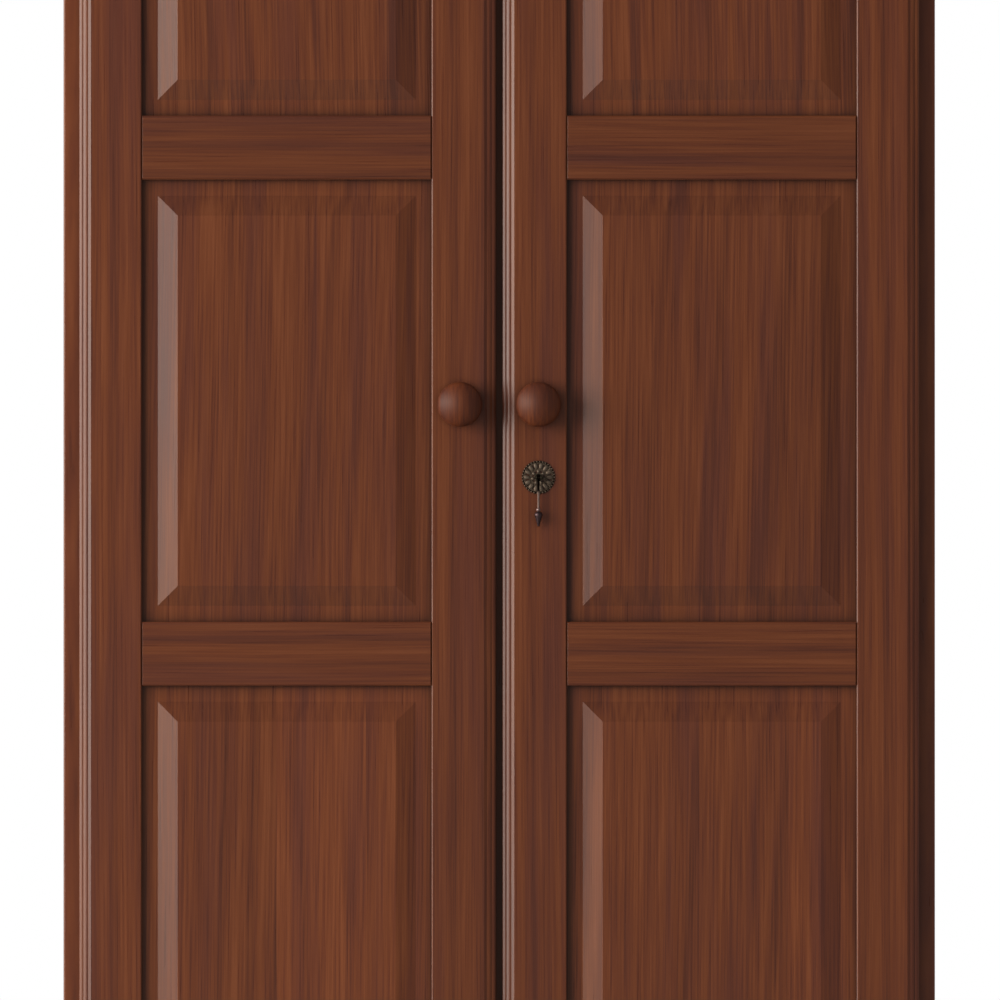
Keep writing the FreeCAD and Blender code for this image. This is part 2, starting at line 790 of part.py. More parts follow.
def rail(hand, foot, grooved_below, grooved_above):
    """A cross piece of the door frame with a stub tenon at each end."""
    head = foot + size.rail_width
    chamfer = size.frame_chamfer
    below = [Corner(chamfer, foot), Corner(0, foot + chamfer)] if grooved_below else [Corner(0, foot)]
    above = [Corner(0, head - chamfer), Corner(chamfer, head)] if grooved_above else [Corner(0, head)]
    if grooved_above:
        above += [Corner(groove_front, head), Corner(groove_front, head - size.groove_depth),
                  Corner(groove_back, head - size.groove_depth), Corner(groove_back, head)]
    behind = [Corner(size.door_thickness, head), Corner(size.door_thickness, foot)]
    if grooved_below:
        behind += [Corner(groove_back, foot), Corner(groove_back, foot + size.groove_depth),
                   Corner(groove_front, foot + size.groove_depth), Corner(groove_front, foot)]
    section = moved(below + above + behind, lambda v, z: (door_face + v, z))
    middle = hand * (opening_inner + opening_outer) / 2
    reach = opening_outer - opening_inner
    body = run_both_ways(new_body(), "YZ_Plane", section, middle, reach)
    tenon_front = door_face + groove_front + size.tenon_slack
    tenon_back = door_face + groove_back - size.tenon_slack
    tenon_foot = foot + size.groove_depth if grooved_below else foot
    tenon_head = head - size.groove_depth if grooved_above else head
    tenon = [Corner(tenon_front, tenon_foot), Corner(tenon_front, tenon_head),
             Corner(tenon_back, tenon_head), Corner(tenon_back, tenon_foot)]
    run_both_ways(body, "YZ_Plane", tenon, middle, reach + 2 * size.tenon_length)
    if not grooved_above:
        trim(body, "YZ_Plane", [moved(DOOR_MOULDING_WASTE, lambda u, v: (door_face + v, door_top - u))])
    if not grooved_below:
        trim(body, "YZ_Plane", [moved(DOOR_MOULDING_WASTE, lambda u, v: (door_face + v, door_bottom + u))])
    nip = [
        Corner(chamfer + OVERRUN, -OVERRUN),
        Corner(-OVERRUN, chamfer + OVERRUN),
        Corner(-OVERRUN, -OVERRUN),
    ]
    inner_end = moved(nip, lambda u, v: (hand * (opening_inner + u), door_face + v))
    outer_end = moved(nip, lambda u, v: (hand * (opening_outer - u), door_face + v))
    return trim(body, "XY_Plane", [inner_end, outer_end])


def panel(hand, foot):
    """A raised panel: a thin plate held in the grooves, with a bevelled field on its front."""
    low, high = span(hand, opening_inner, opening_outer)
    head = foot + size.opening_height
    entry = size.tongue_entry
    front = door_face + groove_front + size.tongue_slack
    back = door_face + groove_back - size.tongue_slack
    plate = block((low - entry, high + entry), (front, back), (foot - entry, head + entry))
    rise = size.panel_margin
    field = size.panel_margin + size.panel_bevel
    raised = doc.addObject("Part::Wedge", "field")
    bind(raised, "Ymin", door_face + size.panel_field_setback)
    bind(raised, "Ymax", front)
    for prop, amount in (
        ("Xmin", low + field), ("Xmax", high - field), ("Zmin", foot + field), ("Zmax", head - field),
        ("X2min", low + rise), ("X2max", high - rise), ("Z2min", foot + rise), ("Z2max", head - rise),
    ):
        bind(raised, prop, amount)
    return joined([plate, raised])


# Profile of a knob: distance from its middle line, height off the door (negative is outward).
shoulder_in = size.knob_radius - size.knob_shoulder
dome_rise = size.knob_projection - size.knob_equator
dome_radius = ((shoulder_in * shoulder_in + dome_rise * dome_rise - size.knob_shoulder * size.knob_shoulder)
               / (2 * (dome_rise - size.knob_shoulder)))
dome_share = dome_radius / (dome_radius - size.knob_shoulder)
dome_centre = size.knob_projection - dome_radius
dome_edge = dome_centre + (size.knob_equator - dome_centre) * dome_share
swell_width = size.knob_radius - size.knob_neck_radius
swell_height = size.knob_equator - size.knob_neck_height
swell_radius = (swell_width * swell_width + swell_height * swell_height) / (2 * swell_width)
KNOB_PROFILE = [
    Corner(0, 0),
    Corner(size.knob_seat_radius, 0),
    Corner(size.knob_seat_radius, size.knob_seat_height),
    Corner(size.knob_neck_radius, size.knob_neck_height,
           (size.knob_radius - swell_radius, size.knob_equator), swell_radius),
    Corner(size.knob_radius, size.knob_equator, (shoulder_in, size.knob_equator), size.knob_shoulder),
    Corner(shoulder_in * dome_share, dome_edge, (length(0), dome_centre), dome_radius),
    Corner(0, size.knob_projection),
]


def door(hand, side):
    """One door: its frame, panels, knob, pivots and catch plate."""
    pieces[f"{side}_hinge_stile"] = stile(
        lambda u: hand * (door_outer - u), size.hinge_stile_width, size.heel_chamfer)
    pieces[f"{side}_meeting_stile"] = stile(
        lambda u: hand * (door_inner + u), size.meeting_stile_width, size.frame_chamfer)
    for foot, name in zip(rail_feet, ("bottom_rail", "lower_rail", "upper_rail", "top_rail")):
        pieces[f"{side}_{name}"] = rail(hand, foot, name != "bottom_rail", name != "top_rail")
    for foot, name in zip(opening_feet, ("bottom_panel", "middle_panel", "top_panel")):
        pieces[f"{side}_{name}"] = panel(hand, foot)

    centre = (hand * knob_x, door_face, knob_z)
    pieces[f"{side}_knob"] = turned_piece(moved(KNOB_PROFILE, lambda r, t: (r, -t)), centre)
    head_at = (hand * knob_x, door_back, knob_z)
    shank_end = size.door_thickness + size.knob_screw_entry
    pieces[f"{side}_knob_screw"] = joined([
        rod(size.knob_screw_head_radius, head_at, "back", size.knob_screw_head_height),
        rod(size.knob_screw_radius, head_at, "front", shank_end),
    ])
    screw_way = rod(size.knob_screw_radius + size.seat_slack, head_at, "front", shank_end + size.seat_slack)
    bore(f"{side}_knob", screw_way)
    bore(f"{side}_meeting_stile", screw_way)

    screws = []
    plates = []
    plate_high = door_outer - size.pivot_plate_end
    plate_low = plate_high - size.pivot_plate_length
    plate_ys = (pivot_y - size.pivot_plate_width / 2, pivot_y + size.pivot_plate_width / 2)
    slack = size.seat_slack
    for end, facing, inward in ((door_top, "up", "down"), (door_bottom, "down", "up")):
        toward = 1 if facing == "up" else -1
        inside = end - toward * size.pivot_plate_thickness
        levels = (inside, end) if toward > 0 else (end, inside)
        seat_levels = ((inside - slack, end + OVERRUN) if toward > 0 else (end - OVERRUN, inside + slack))
        plate = block(span(hand, plate_low, plate_high), plate_ys, levels)
        bore(f"{side}_hinge_stile", block(
            span(hand, plate_low - slack, plate_high + slack),
            (plate_ys[0] - slack, plate_ys[1] + slack), seat_levels))
        at = (hand * pivot_x, pivot_y, end)
        pin = rod(size.pivot_pin_radius, at, facing, size.door_end_gap + size.pivot_pin_depth)
        collar = rod(size.pivot_collar_radius, at, facing, size.door_end_gap - size.pivot_running_gap)
        holes = []
        for along in (size.pivot_screw_first, size.pivot_screw_second):
            screw_at = (hand * (plate_high - along), pivot_y, end)
            holes.append(wood_screw(screw_at, inward, slack))
            screws.append(fasten(screw_at, inward, f"{side}_hinge_stile"))
        plates.append(less(joined([plate, pin, collar]), holes))
    pieces[f"{side}_pivot_plates"] = group(plates)

    catch_low = door_inner + size.catch_inset
    catch_high = catch_low + size.catch_length
    plate_top = door_top - size.catch_plate_below_top + size.catch_plate_height / 2
    plate_rear = door_back + size.catch_plate_thickness
    strike = block(span(hand, catch_low, catch_high), (door_back, plate_rear),
                   (plate_top - size.catch_plate_height, plate_top))
    strike_holes = []
    for x in (catch_low + size.catch_screw_inset, catch_high - size.catch_screw_inset):
        screw_at = (hand * x, plate_rear, plate_top - size.catch_plate_height / 2)
        strike_holes.append(wood_screw(screw_at, "front", slack))
        screws.append(fasten(screw_at, "front", f"{side}_meeting_stile"))
    pieces[f"{side}_catch_plate"] = less(strike, strike_holes)
    return screws


door_screws = {side: door(hand, side) for hand, side in ((-1, "left"), (1, "right"))}

# Magnetic catches under the top board, each facing the plate on its door.
catches = []
catch_front = door_back + size.catch_plate_thickness + size.catch_touch_gap
for hand in (-1, 1):
    catch_low = door_inner + size.catch_inset
    xs = (catch_low, catch_low + size.catch_length)
    ys = (catch_front, catch_front + size.catch_depth)
    catch = block(span(hand, *xs), ys, (top_under - size.catch_height, top_under))
    at = (hand * (xs[0] + xs[1]) / 2, (ys[0] + ys[1]) / 2, top_under - size.catch_height / 2)
    well = rod(size.screw_head_radius + size.seat_slack, (at[0], at[1], at[2] - size.catch_height), "up",
               size.catch_height)
    case_screws.append(fasten(at, "up", "top_board"))
    catches.append(less(catch, [well, wood_screw(at, "up", size.seat_slack)]))
pieces["door_catches"] = group(catches)

# Lock behind the meeting stile of the right door. The bolt runs level, just under the key.
key_x = knob_x
case_xs = (key_x - size.lock_case_left, key_x + size.lock_case_right)
case_zs = (key_z - size.lock_case_fall, key_z + size.lock_case_rise)
case_rear = door_back + size.lock_case_depth
bolt_zs = (key_z - size.key_radius - size.lock_bolt_below_key - size.lock_bolt_height,
           key_z - size.key_radius - size.lock_bolt_below_key)
bolt_ys = (door_back + size.lock_bolt_setback, door_back + size.lock_bolt_setback + size.lock_bolt_thickness)
bolt_tip = case_xs[0] - size.lock_bolt_lead
bolt_end = key_x + size.lock_bolt_tail
wall = size.lock_wall
slide = size.lock_slide_gap
case_shell = less(
    block(case_xs, (door_back, case_rear), case_zs),
    [block((case_xs[0] + wall, case_xs[1] - wall), (door_back - OVERRUN, case_rear - wall),
           (case_zs[0] + wall, case_zs[1] - wall))])
lower_ears = block(case_xs, (door_back, door_back + wall), (case_zs[0] - size.lock_ear, case_zs[0] + wall))
upper_ears = block(case_xs, (door_back, door_back + wall), (case_zs[1] - wall, case_zs[1] + size.lock_ear))
bolt_bed = block((case_xs[0] + wall, case_xs[1] - wall), (bolt_ys[1] + slide, case_rear - wall), bolt_zs)
bolt_rest = block((case_xs[0] + wall, case_xs[1] - wall), (bolt_ys[0], case_rear - wall),
                  (bolt_zs[0] - slide - wall, bolt_zs[0] - slide))
bolt_way = block((case_xs[0] - OVERRUN, case_xs[0] + wall + slide), (bolt_ys[0] - slide, bolt_ys[1] + slide),
                 (bolt_zs[0] - slide, bolt_zs[1] + slide))
tip_way = rod(size.key_tip_radius + size.pivot_running_gap, (key_x, case_rear - OVERRUN, key_z), "back",
              2 * OVERRUN)
lock_holes = [bolt_way, tip_way]
for x in (case_xs[0] + size.lock_ear / 2, case_xs[1] - size.lock_ear / 2):
    for z in (case_zs[0] - size.lock_ear / 2, case_zs[1] + size.lock_ear / 2):
        screw_at = (x, door_back + wall, z)
        lock_holes.append(wood_screw(screw_at, "front", size.seat_slack))
        door_screws["right"].append(fasten(screw_at, "front", "right_meeting_stile"))
pieces["lock_case"] = less(joined([case_shell, lower_ears, upper_ears, bolt_bed, bolt_rest]), lock_holes)
pieces["left_door_screws"] = group(door_screws["left"])
pieces["right_door_screws"] = group(door_screws["right"])

notch = block((key_x - size.lock_notch_width / 2, key_x + size.lock_notch_width / 2),
              (bolt_ys[0] - OVERRUN, bolt_ys[1] + OVERRUN),
              (key_z - size.key_bit_reach - size.lock_bolt_below_key, bolt_zs[1] + OVERRUN))
pieces["lock_bolt"] = less(block((bolt_tip, bolt_end), bolt_ys, bolt_zs), [notch])

# Keeper and mortise in the partition for the thrown bolt.
mortise_ys = (bolt_ys[0] - size.mortise_slack, bolt_ys[1] + size.mortise_slack)
mortise_zs = (bolt_zs[0] - size.mortise_slack, bolt_zs[1] + size.mortise_slack)
mortise_floor = bolt_tip - size.lock_bolt_travel - size.mortise_floor_gap
mortise = block((mortise_floor, partition_half + OVERRUN), mortise_ys, mortise_zs)
keeper_xs = (partition_half - size.keeper_thickness, partition_half)
keeper_ys = (mortise_ys[0] - size.keeper_side_margin, mortise_ys[1] + size.keeper_side_margin)
keeper_zs = (mortise_zs[0] - size.keeper_margin, mortise_zs[1] + size.keeper_margin)
fit = size.seat_slack
bore("centre_partition", mortise, block(
    (keeper_xs[0] - fit, keeper_xs[1] + OVERRUN), (keeper_ys[0] - fit, keeper_ys[1] + fit),
    (keeper_zs[0] - fit, keeper_zs[1] + fit)))
keeper_holes = [mortise]
for z in (keeper_zs[0] + size.keeper_margin / 2, keeper_zs[1] - size.keeper_margin / 2):
    screw_at = (partition_half, (keeper_ys[0] + keeper_ys[1]) / 2, z)
    keeper_holes.append(wood_screw(screw_at, "left", size.seat_slack))
    case_screws.append(fasten(screw_at, "left", "centre_partition"))
pieces["lock_keeper"] = less(block(keeper_xs, keeper_ys, keeper_zs), keeper_holes)
pieces["case_screws"] = group(case_screws)

# Rosette round the keyhole: a dished disc with a rim, a ring of pierced petals and a ferrule.
rosette_inner = size.rosette_radius - size.rosette_rim
ROSETTE_PROFILE = [
    Corner(0, size.ferrule_length),
    Corner(size.ferrule_radius, size.ferrule_length),
    Corner(size.ferrule_radius, 0),
    Corner(size.rosette_radius, 0),
    Corner(size.rosette_radius, -size.rosette_thickness),
    Corner(rosette_inner, -size.rosette_thickness),
    Corner(rosette_inner, size.rosette_dish - size.rosette_thickness),
    Corner(0, size.rosette_dish - size.rosette_thickness),
]
rosette_disc = turned_piece(ROSETTE_PROFILE, (key_x, door_face, key_z))
slot_foot = key_z - size.key_bit_reach - size.lock_bolt_below_key
slot_xs = (key_x - size.keyhole_slot_width / 2, key_x + size.keyhole_slot_width / 2)
key_slot = block(slot_xs, (door_face - OVERRUN, door_back + OVERRUN), (slot_foot, key_z))
key_way = rod(size.key_radius + size.pivot_running_gap,
              (key_x, door_face - OVERRUN, key_z), "back", size.door_thickness + OVERRUN)
petals = []
for step in range(ROSETTE_PETALS):
    turn = f"(({step} + 0.5) * 360 / {ROSETTE_PETALS})"
    petal = rod(size.rosette_petal_radius, (key_x, door_face - OVERRUN, key_z), "back", 2 * OVERRUN)
    petal.setExpression("Placement.Base.x",
                        f"{key_x.text} + {size.rosette_petal_circle.text} * sin({turn} * 1 deg)")
    petal.setExpression("Placement.Base.z",
                        f"{key_z.text} + {size.rosette_petal_circle.text} * cos({turn} * 1 deg)")
    petals.append(petal)
pieces["lock_rosette"] = less(rosette_disc, [key_slot, key_way] + petals)
bore("right_meeting_stile",
     rod(size.ferrule_radius + size.seat_slack, (key_x, door_face - OVERRUN, key_z), "back",
         size.door_thickness + 2 * OVERRUN),
     key_slot)

# Key: stem, bit, tip and the slotted head that carries the hanging bow.
stem_end = case_rear - wall - size.seat_slack
head_start = door_face - size.key_head_start
stem = rod(size.key_radius, (key_x, head_start, key_z), "back", stem_end - head_start)
tip = rod(size.key_tip_radius, (key_x, head_start, key_z), "back", case_rear - head_start)
bit_middle = (bolt_ys[0] + bolt_ys[1]) / 2
bit = block((key_x - size.key_bit_thickness / 2, key_x + size.key_bit_thickness / 2),
            (bit_middle - size.key_bit_width / 2, bit_middle + size.key_bit_width / 2),
            (key_z - size.key_bit_reach, key_z))
head = rod(size.key_head_radius, (key_x, head_start, key_z), "front", size.key_head_length)
drop_y = door_face - size.drop_pivot_out
cheek_xs = (key_x - size.key_slot_width / 2, key_x + size.key_slot_width / 2)
slot_floor = drop_y + size.drop_eye_radius + size.seat_slack
head_slot = block(cheek_xs,
                  (head_start - size.key_head_length - OVERRUN, slot_floor),
                  (key_z - size.key_head_radius - OVERRUN, key_z + size.key_head_radius + OVERRUN))
pin_start = (key_x - size.key_head_radius, drop_y, key_z)
pin_way = rod(size.drop_pin_radius + size.pivot_running_gap,
              (key_x - size.key_head_radius - OVERRUN, drop_y, key_z), "right",
              2 * size.key_head_radius + 2 * OVERRUN)
pieces["key"] = less(joined([stem, tip, bit, head]), [head_slot, pin_way])
pieces["key_drop_pin"] = rod(size.drop_pin_radius, pin_start, "right", 2 * size.key_head_radius)

# Hanging bow of the key: an eye, a thin rod, a bead and a tapering drop.
eye = rod(size.drop_eye_radius, (key_x - size.drop_eye_thickness / 2, drop_y, key_z), "right",
          size.drop_eye_thickness)
bead_z = key_z - size.drop_bead_below
shaft = rod(size.drop_rod_radius, (key_x, drop_y, key_z - size.drop_eye_radius / 2), "down",
            size.drop_bead_below - size.drop_eye_radius / 2)
bead = ball(size.drop_bead_radius, (key_x, drop_y, bead_z))
drop_top = bead_z - size.drop_bead_radius - size.drop_shoulder
drop_taper = size.drop_end_length - size.drop_end_radius
shoulder = cone(size.drop_rod_radius, size.drop_end_radius, (key_x, drop_y, bead_z), "down",
                bead_z - drop_top)
taper = cone(size.drop_end_radius, size.drop_rod_radius, (key_x, drop_y, drop_top), "down", drop_taper)
eye_way = rod(size.drop_pin_radius + size.pivot_running_gap,
              (key_x - size.key_head_radius, drop_y, key_z), "right", 2 * size.key_head_radius)
pieces["key_drop"] = less(joined([eye, shaft, bead, shoulder, taper]), [eye_way])

# Holes and seats are cut, then every piece is checked and written out.
finished = {}
for name, base in pieces.items():
    whole = less(base, bores[name]) if name in bores else base
    whole.Label = name
    finished[name] = whole
doc.recompute()

for thing in doc.Objects:
    if "Invalid" in thing.State or "Error" in thing.State:
        raise RuntimeError(f"{thing.Label} could not be made: {thing.State}")
os.makedirs("parts", exist_ok=True)
for name, whole in finished.items():
    if whole.Shape.isNull() or not whole.Shape.isValid():
        raise RuntimeError(f"{name} has no sound shape")
for name, whole in finished.items():
    whole.Shape.exportStep(f"parts/{name}.step")
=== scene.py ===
import logging
import math
from dataclasses import dataclass, field
from enum import Enum
from random import Random

import bmesh
import bpy
from bpy.types import ID, Material, Mesh, Node, NodeSocket, NodeTree, Object, Scene
from mathutils import Euler, Matrix, Vector


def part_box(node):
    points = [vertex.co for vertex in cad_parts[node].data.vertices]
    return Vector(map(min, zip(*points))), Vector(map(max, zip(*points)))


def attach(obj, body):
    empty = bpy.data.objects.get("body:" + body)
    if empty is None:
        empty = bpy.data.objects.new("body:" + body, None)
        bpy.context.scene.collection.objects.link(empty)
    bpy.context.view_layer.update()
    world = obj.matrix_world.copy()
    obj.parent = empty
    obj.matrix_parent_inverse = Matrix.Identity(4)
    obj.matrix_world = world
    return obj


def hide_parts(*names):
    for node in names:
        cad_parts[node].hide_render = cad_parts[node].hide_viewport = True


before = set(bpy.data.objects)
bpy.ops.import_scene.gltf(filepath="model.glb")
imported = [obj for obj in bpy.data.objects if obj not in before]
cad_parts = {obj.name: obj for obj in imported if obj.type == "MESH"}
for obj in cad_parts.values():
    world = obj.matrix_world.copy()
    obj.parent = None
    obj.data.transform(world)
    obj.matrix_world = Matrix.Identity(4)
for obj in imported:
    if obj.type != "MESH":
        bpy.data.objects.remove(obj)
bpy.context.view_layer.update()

# Looks of a two-door wardrobe in stained and lacquered wood, with turned knobs and a bronze lock plate.
# Lengths named _mm are millimetres, all others are metres.

log = logging.getLogger("wardrobe")
MM = 0.001
TINY = 1e-6
SHARP_DEG = 38.0
WHITE = "#ffffff"
# Most of what a noise texture gives lies between these two.
NOISE_SPAN = (0.3, 0.7)
Pair = tuple[float, float]
Triple = tuple[float, float, float]
Colour = tuple[float, float, float, float]
Outline = list[Pair]
Stops = tuple[tuple[float, str], ...]
Shell = bmesh.types.BMesh
Inputs = dict[str | int, object] | tuple[object, ...]
Sizes = dict[str, int | float | Triple]


def linear(colour: str, tone: float = 1.0) -> Colour:
    """Turns an sRGB hex colour into linear light.

    Args:
        colour: A hash mark and six hex digits.
        tone: How much lighter or darker than written, 1 for as written.

    Returns:
        Red, green, blue and full opacity.
    """
    channels = [int(colour[place:place + 2], 16) / 255 for place in (1, 3, 5)]
    light = [c / 12.92 if c <= 0.04045 else ((c + 0.055) / 1.055) ** 2.4 for c in channels]
    return (light[0] * tone, light[1] * tone, light[2] * tone, 1.0)


def add_node(tree: NodeTree, kind: str, inputs: Inputs = (), **settings: object) -> Node:
    """Adds one node with its settings, fixed inputs and links.

    An input gets a fixed value, or it is fed by an output, by a node's first output or by a list of these.

    Args:
        tree: The tree that gets the node.
        kind: Blender's own name for the type of node.
        inputs: What the inputs get, by their names or numbers, or in order from the first.
        settings: The node's own options.

    Returns:
        The new node.
    """
    node = tree.nodes.new(kind)
    for name, value in settings.items():
        setattr(node, name, value)
    for socket, given in inputs.items() if isinstance(inputs, dict) else enumerate(inputs):
        for source in given if isinstance(given, list) else [given]:
            if isinstance(source, Node):
                source = source.outputs[0]
            if isinstance(source, NodeSocket):
                tree.links.new(source, node.inputs[socket])
            else:
                node.inputs[socket].default_value = source
    return node


def set_stops(node: Node, stops: Stops, tone: float = 1.0) -> None:
    """Fills a colour ramp.

    Args:
        node: The ramp's node.
        stops: The place and the colour of each stop, in order.
        tone: How much lighter or darker than written, 1 for as written.
    """
    ramp = node.color_ramp.elements
    while len(ramp) < len(stops):
        ramp.new(0.5)
    for element, (place, colour) in zip(ramp, stops):
        element.position = place
        element.color = linear(colour, tone)


def new_material(name: str) -> tuple[Material, NodeTree]:
    """Starts a material with an empty tree.

    Args:
        name: What the material is called.

    Returns:
        The material and its tree.
    """
    material = bpy.data.materials.new(name)
    material.use_nodes = True
    material.node_tree.nodes.clear()
    return material, material.node_tree


def end_material(tree: NodeTree, inputs: Inputs, height: Node, bump: float, bump_mm: float) -> None:
    """Ends a material in one shader with a fine relief.

    Args:
        tree: The material's tree.
        inputs: The shader's inputs, apart from the relief.
        height: The pattern that stands out.
        bump: How strongly it shows.
        bump_mm: How high it stands.
    """
    relief = add_node(tree, "ShaderNodeBump",
                      {"Height": height, "Strength": bump, "Distance": bump_mm * MM})
    shader = add_node(tree, "ShaderNodeBsdfPrincipled", {**inputs, "Normal": relief})
    add_node(tree, "ShaderNodeOutputMaterial", {"Surface": shader})


def dress(node: str, material: Material) -> None:
    """Gives one carried-over piece its finish.

    Args:
        node: The name of the piece.
        material: Its finish.
    """
    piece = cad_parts[node]
    piece.data.materials.clear()
    piece.data.materials.append(material)
    log.info("dressed %s in %s", node, material.name)


def put_in_scene(name: str, data: ID) -> Object:
    """Makes an object and puts it in the scene.

    Args:
        name: What it is called.
        data: Its mesh, lamp or camera.

    Returns:
        The object.
    """
    thing = bpy.data.objects.new(name, data)
    bpy.context.scene.collection.objects.link(thing)
    return thing


def new_piece(name: str, mesh: Mesh, body: str, stands_for: str) -> None:
    """Puts a finished mesh on the body that carries it.

    Args:
        name: What the piece is called.
        mesh: Its mesh, already in place.
        body: The body that it moves with.
        stands_for: The carried-over piece that it replaces.
    """
    piece = put_in_scene(name, mesh)
    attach(piece, body)
    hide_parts(stands_for)
    log.info("built %s with %d faces", name, len(mesh.polygons))


def arc(centre: Pair, start: Pair, end: Pair, steps: int) -> Outline:
    """Samples a round stretch of an outline, the short way round.

    Args:
        centre: Its centre.
        start: Where it starts.
        end: Where it ends.
        steps: How many pieces it is cut in.

    Returns:
        The points after the start, up to the end.
    """
    radius = math.dist(centre, start)
    first = math.atan2(start[1] - centre[1], start[0] - centre[0])
    swing = math.atan2(end[1] - centre[1], end[0] - centre[0]) - first
    swing = (swing + math.pi) % (2 * math.pi) - math.pi
    angles = [first + swing * step / steps for step in range(1, steps + 1)]
    return [(centre[0] + radius * math.cos(a), centre[1] + radius * math.sin(a)) for a in angles]


def turned_shell(outline: Outline, sides: int, closed: bool = False) -> Shell:
    """Turns an outline about the upright axis into a smooth shell.

    Args:
        outline: Distance from the axis and height, in millimetres.
        sides: How many steps go round.
        closed: Whether the outline returns to its start, as round a ring, or runs from axis to axis.

    Returns:
        The shell, in metres, standing on the origin.
    """
    shell = bmesh.new()
    turns = [2 * math.pi * step / sides for step in range(sides)]
    rings = []
    for radius, height in outline:
        if radius < TINY:
            rings.append([shell.verts.new((0, 0, height * MM))])
            continue
        round_points = [(radius * MM * math.cos(a), radius * MM * math.sin(a), height * MM) for a in turns]
        rings.append([shell.verts.new(point) for point in round_points])
    if closed:
        rings.append(rings[0])
    for lower, upper in zip(rings, rings[1:]):
        for step in range(sides):
            after = (step + 1) % sides
            corners = [lower[step % len(lower)], lower[after % len(lower)],
                       upper[after % len(upper)], upper[step % len(upper)]]
            face = shell.faces.new(list(dict.fromkeys(corners)))
            face.smooth = True
    bmesh.ops.recalc_face_normals(shell, faces=shell.faces)
    return shell


def finished_mesh(name: str, shells: list[Shell], material: Material) -> Mesh:
    """Joins shells into one mesh with one finish.

    Args:
        name: What the mesh is called.
        shells: The shells, already in place.
        material: Their finish.

    Returns:
        The joined mesh.
    """
    whole = bmesh.new()
    for shell in shells:
        part = bpy.data.meshes.new(name)
        shell.to_mesh(part)
        shell.free()
        whole.from_mesh(part)
        bpy.data.meshes.remove(part)
    mesh = bpy.data.meshes.new(name)
    whole.to_mesh(mesh)
    whole.free()
    mesh.materials.append(material)
    return mesh


def in_metres(sizes_mm: dict[str, float | Triple]) -> Sizes:
    """Turns named millimetres into metres.

    Args:
        sizes_mm: Single lengths, or three for the three ways.

    Returns:
        The same in metres.
    """
    return {name: tuple(part * MM for part in size) if isinstance(size, tuple) else size * MM
            for name, size in sizes_mm.items()}


def new_geometry_tree(name: str, sizes: Sizes) -> NodeTree:
    """Starts a Geometry Nodes tree with named inputs.

    Args:
        name: What the tree is called.
        sizes: The inputs after the geometry, each with a value of its kind.

    Returns:
        The tree.
    """
    kinds = {int: "NodeSocketInt", float: "NodeSocketFloat", tuple: "NodeSocketVector"}
    tree = bpy.data.node_groups.new(name, "GeometryNodeTree")
    tree.is_modifier = True
    for way in ("INPUT", "OUTPUT"):
        tree.interface.new_socket("Geometry", in_out=way, socket_type="NodeSocketGeometry")
    for size, value in sizes.items():
        tree.interface.new_socket(size, in_out="INPUT", socket_type=kinds[type(value)])
    return tree


def end_tree(tree: NodeTree, parts: list[Node], material: Material) -> None:
    """Joins the parts of a Geometry Nodes tree, makes them real and gives them a finish.

    Args:
        tree: The tree.
        parts: The nodes that hold the parts.
        material: The finish.
    """
    whole = add_node(tree, "GeometryNodeJoinGeometry", {"Geometry": parts})
    real = add_node(tree, "GeometryNodeRealizeInstances", {"Geometry": whole})
    dressed = add_node(tree, "GeometryNodeSetMaterial", {"Geometry": real, "Material": material})
    add_node(tree, "NodeGroupOutput", {"Geometry": dressed})


def grown_mesh(base: Mesh, tree: NodeTree, sizes: Sizes) -> Mesh:
    """Runs a Geometry Nodes tree on a mesh and keeps the result as a plain mesh.

    Args:
        base: The mesh that the tree starts from.
        tree: The tree.
        sizes: A value for each of its named inputs.

    Returns:
        A plain mesh with its faces turned outwards.
    """
    holder = put_in_scene(base.name, base)
    modifier = holder.modifiers.new(tree.name, "NODES")
    modifier.node_group = tree
    for item in tree.interface.items_tree:
        if item.in_out == "INPUT" and item.name in sizes:
            modifier[item.identifier] = sizes[item.name]
    graph = bpy.context.evaluated_depsgraph_get()
    mesh = bpy.data.meshes.new_from_object(holder.evaluated_get(graph))
    holder.modifiers.remove(modifier)
    bpy.data.objects.remove(holder)
    shell = bmesh.new()
    shell.from_mesh(mesh)
    bmesh.ops.recalc_face_normals(shell, faces=shell.faces)
    shell.to_mesh(mesh)
    shell.free()
    mesh.shade_smooth()
    mesh.set_sharp_from_angle(angle=math.radians(SHARP_DEG))
    return mesh


class Grain(Enum):
    """The way the grain runs, as the turn in degrees that brings it onto the pattern's long axis."""

    UPRIGHT = (0.0, 0.0, 0.0)
    LEVEL = (0.0, 90.0, 0.0)
    DEEP = (90.0, 0.0, 0.0)


@dataclass(frozen=True)
class Board:
    """One wooden piece: how its grain runs, where in the log it was sawn and how strong its figure is."""

    node: str
    grain: Grain
    tone: float = 1.0
    stave_mm: float = 0.0
    pith_mm: Pair = (260.0, 60.0)
    lean_deg: float = 0.35
    figure: float = 0.95


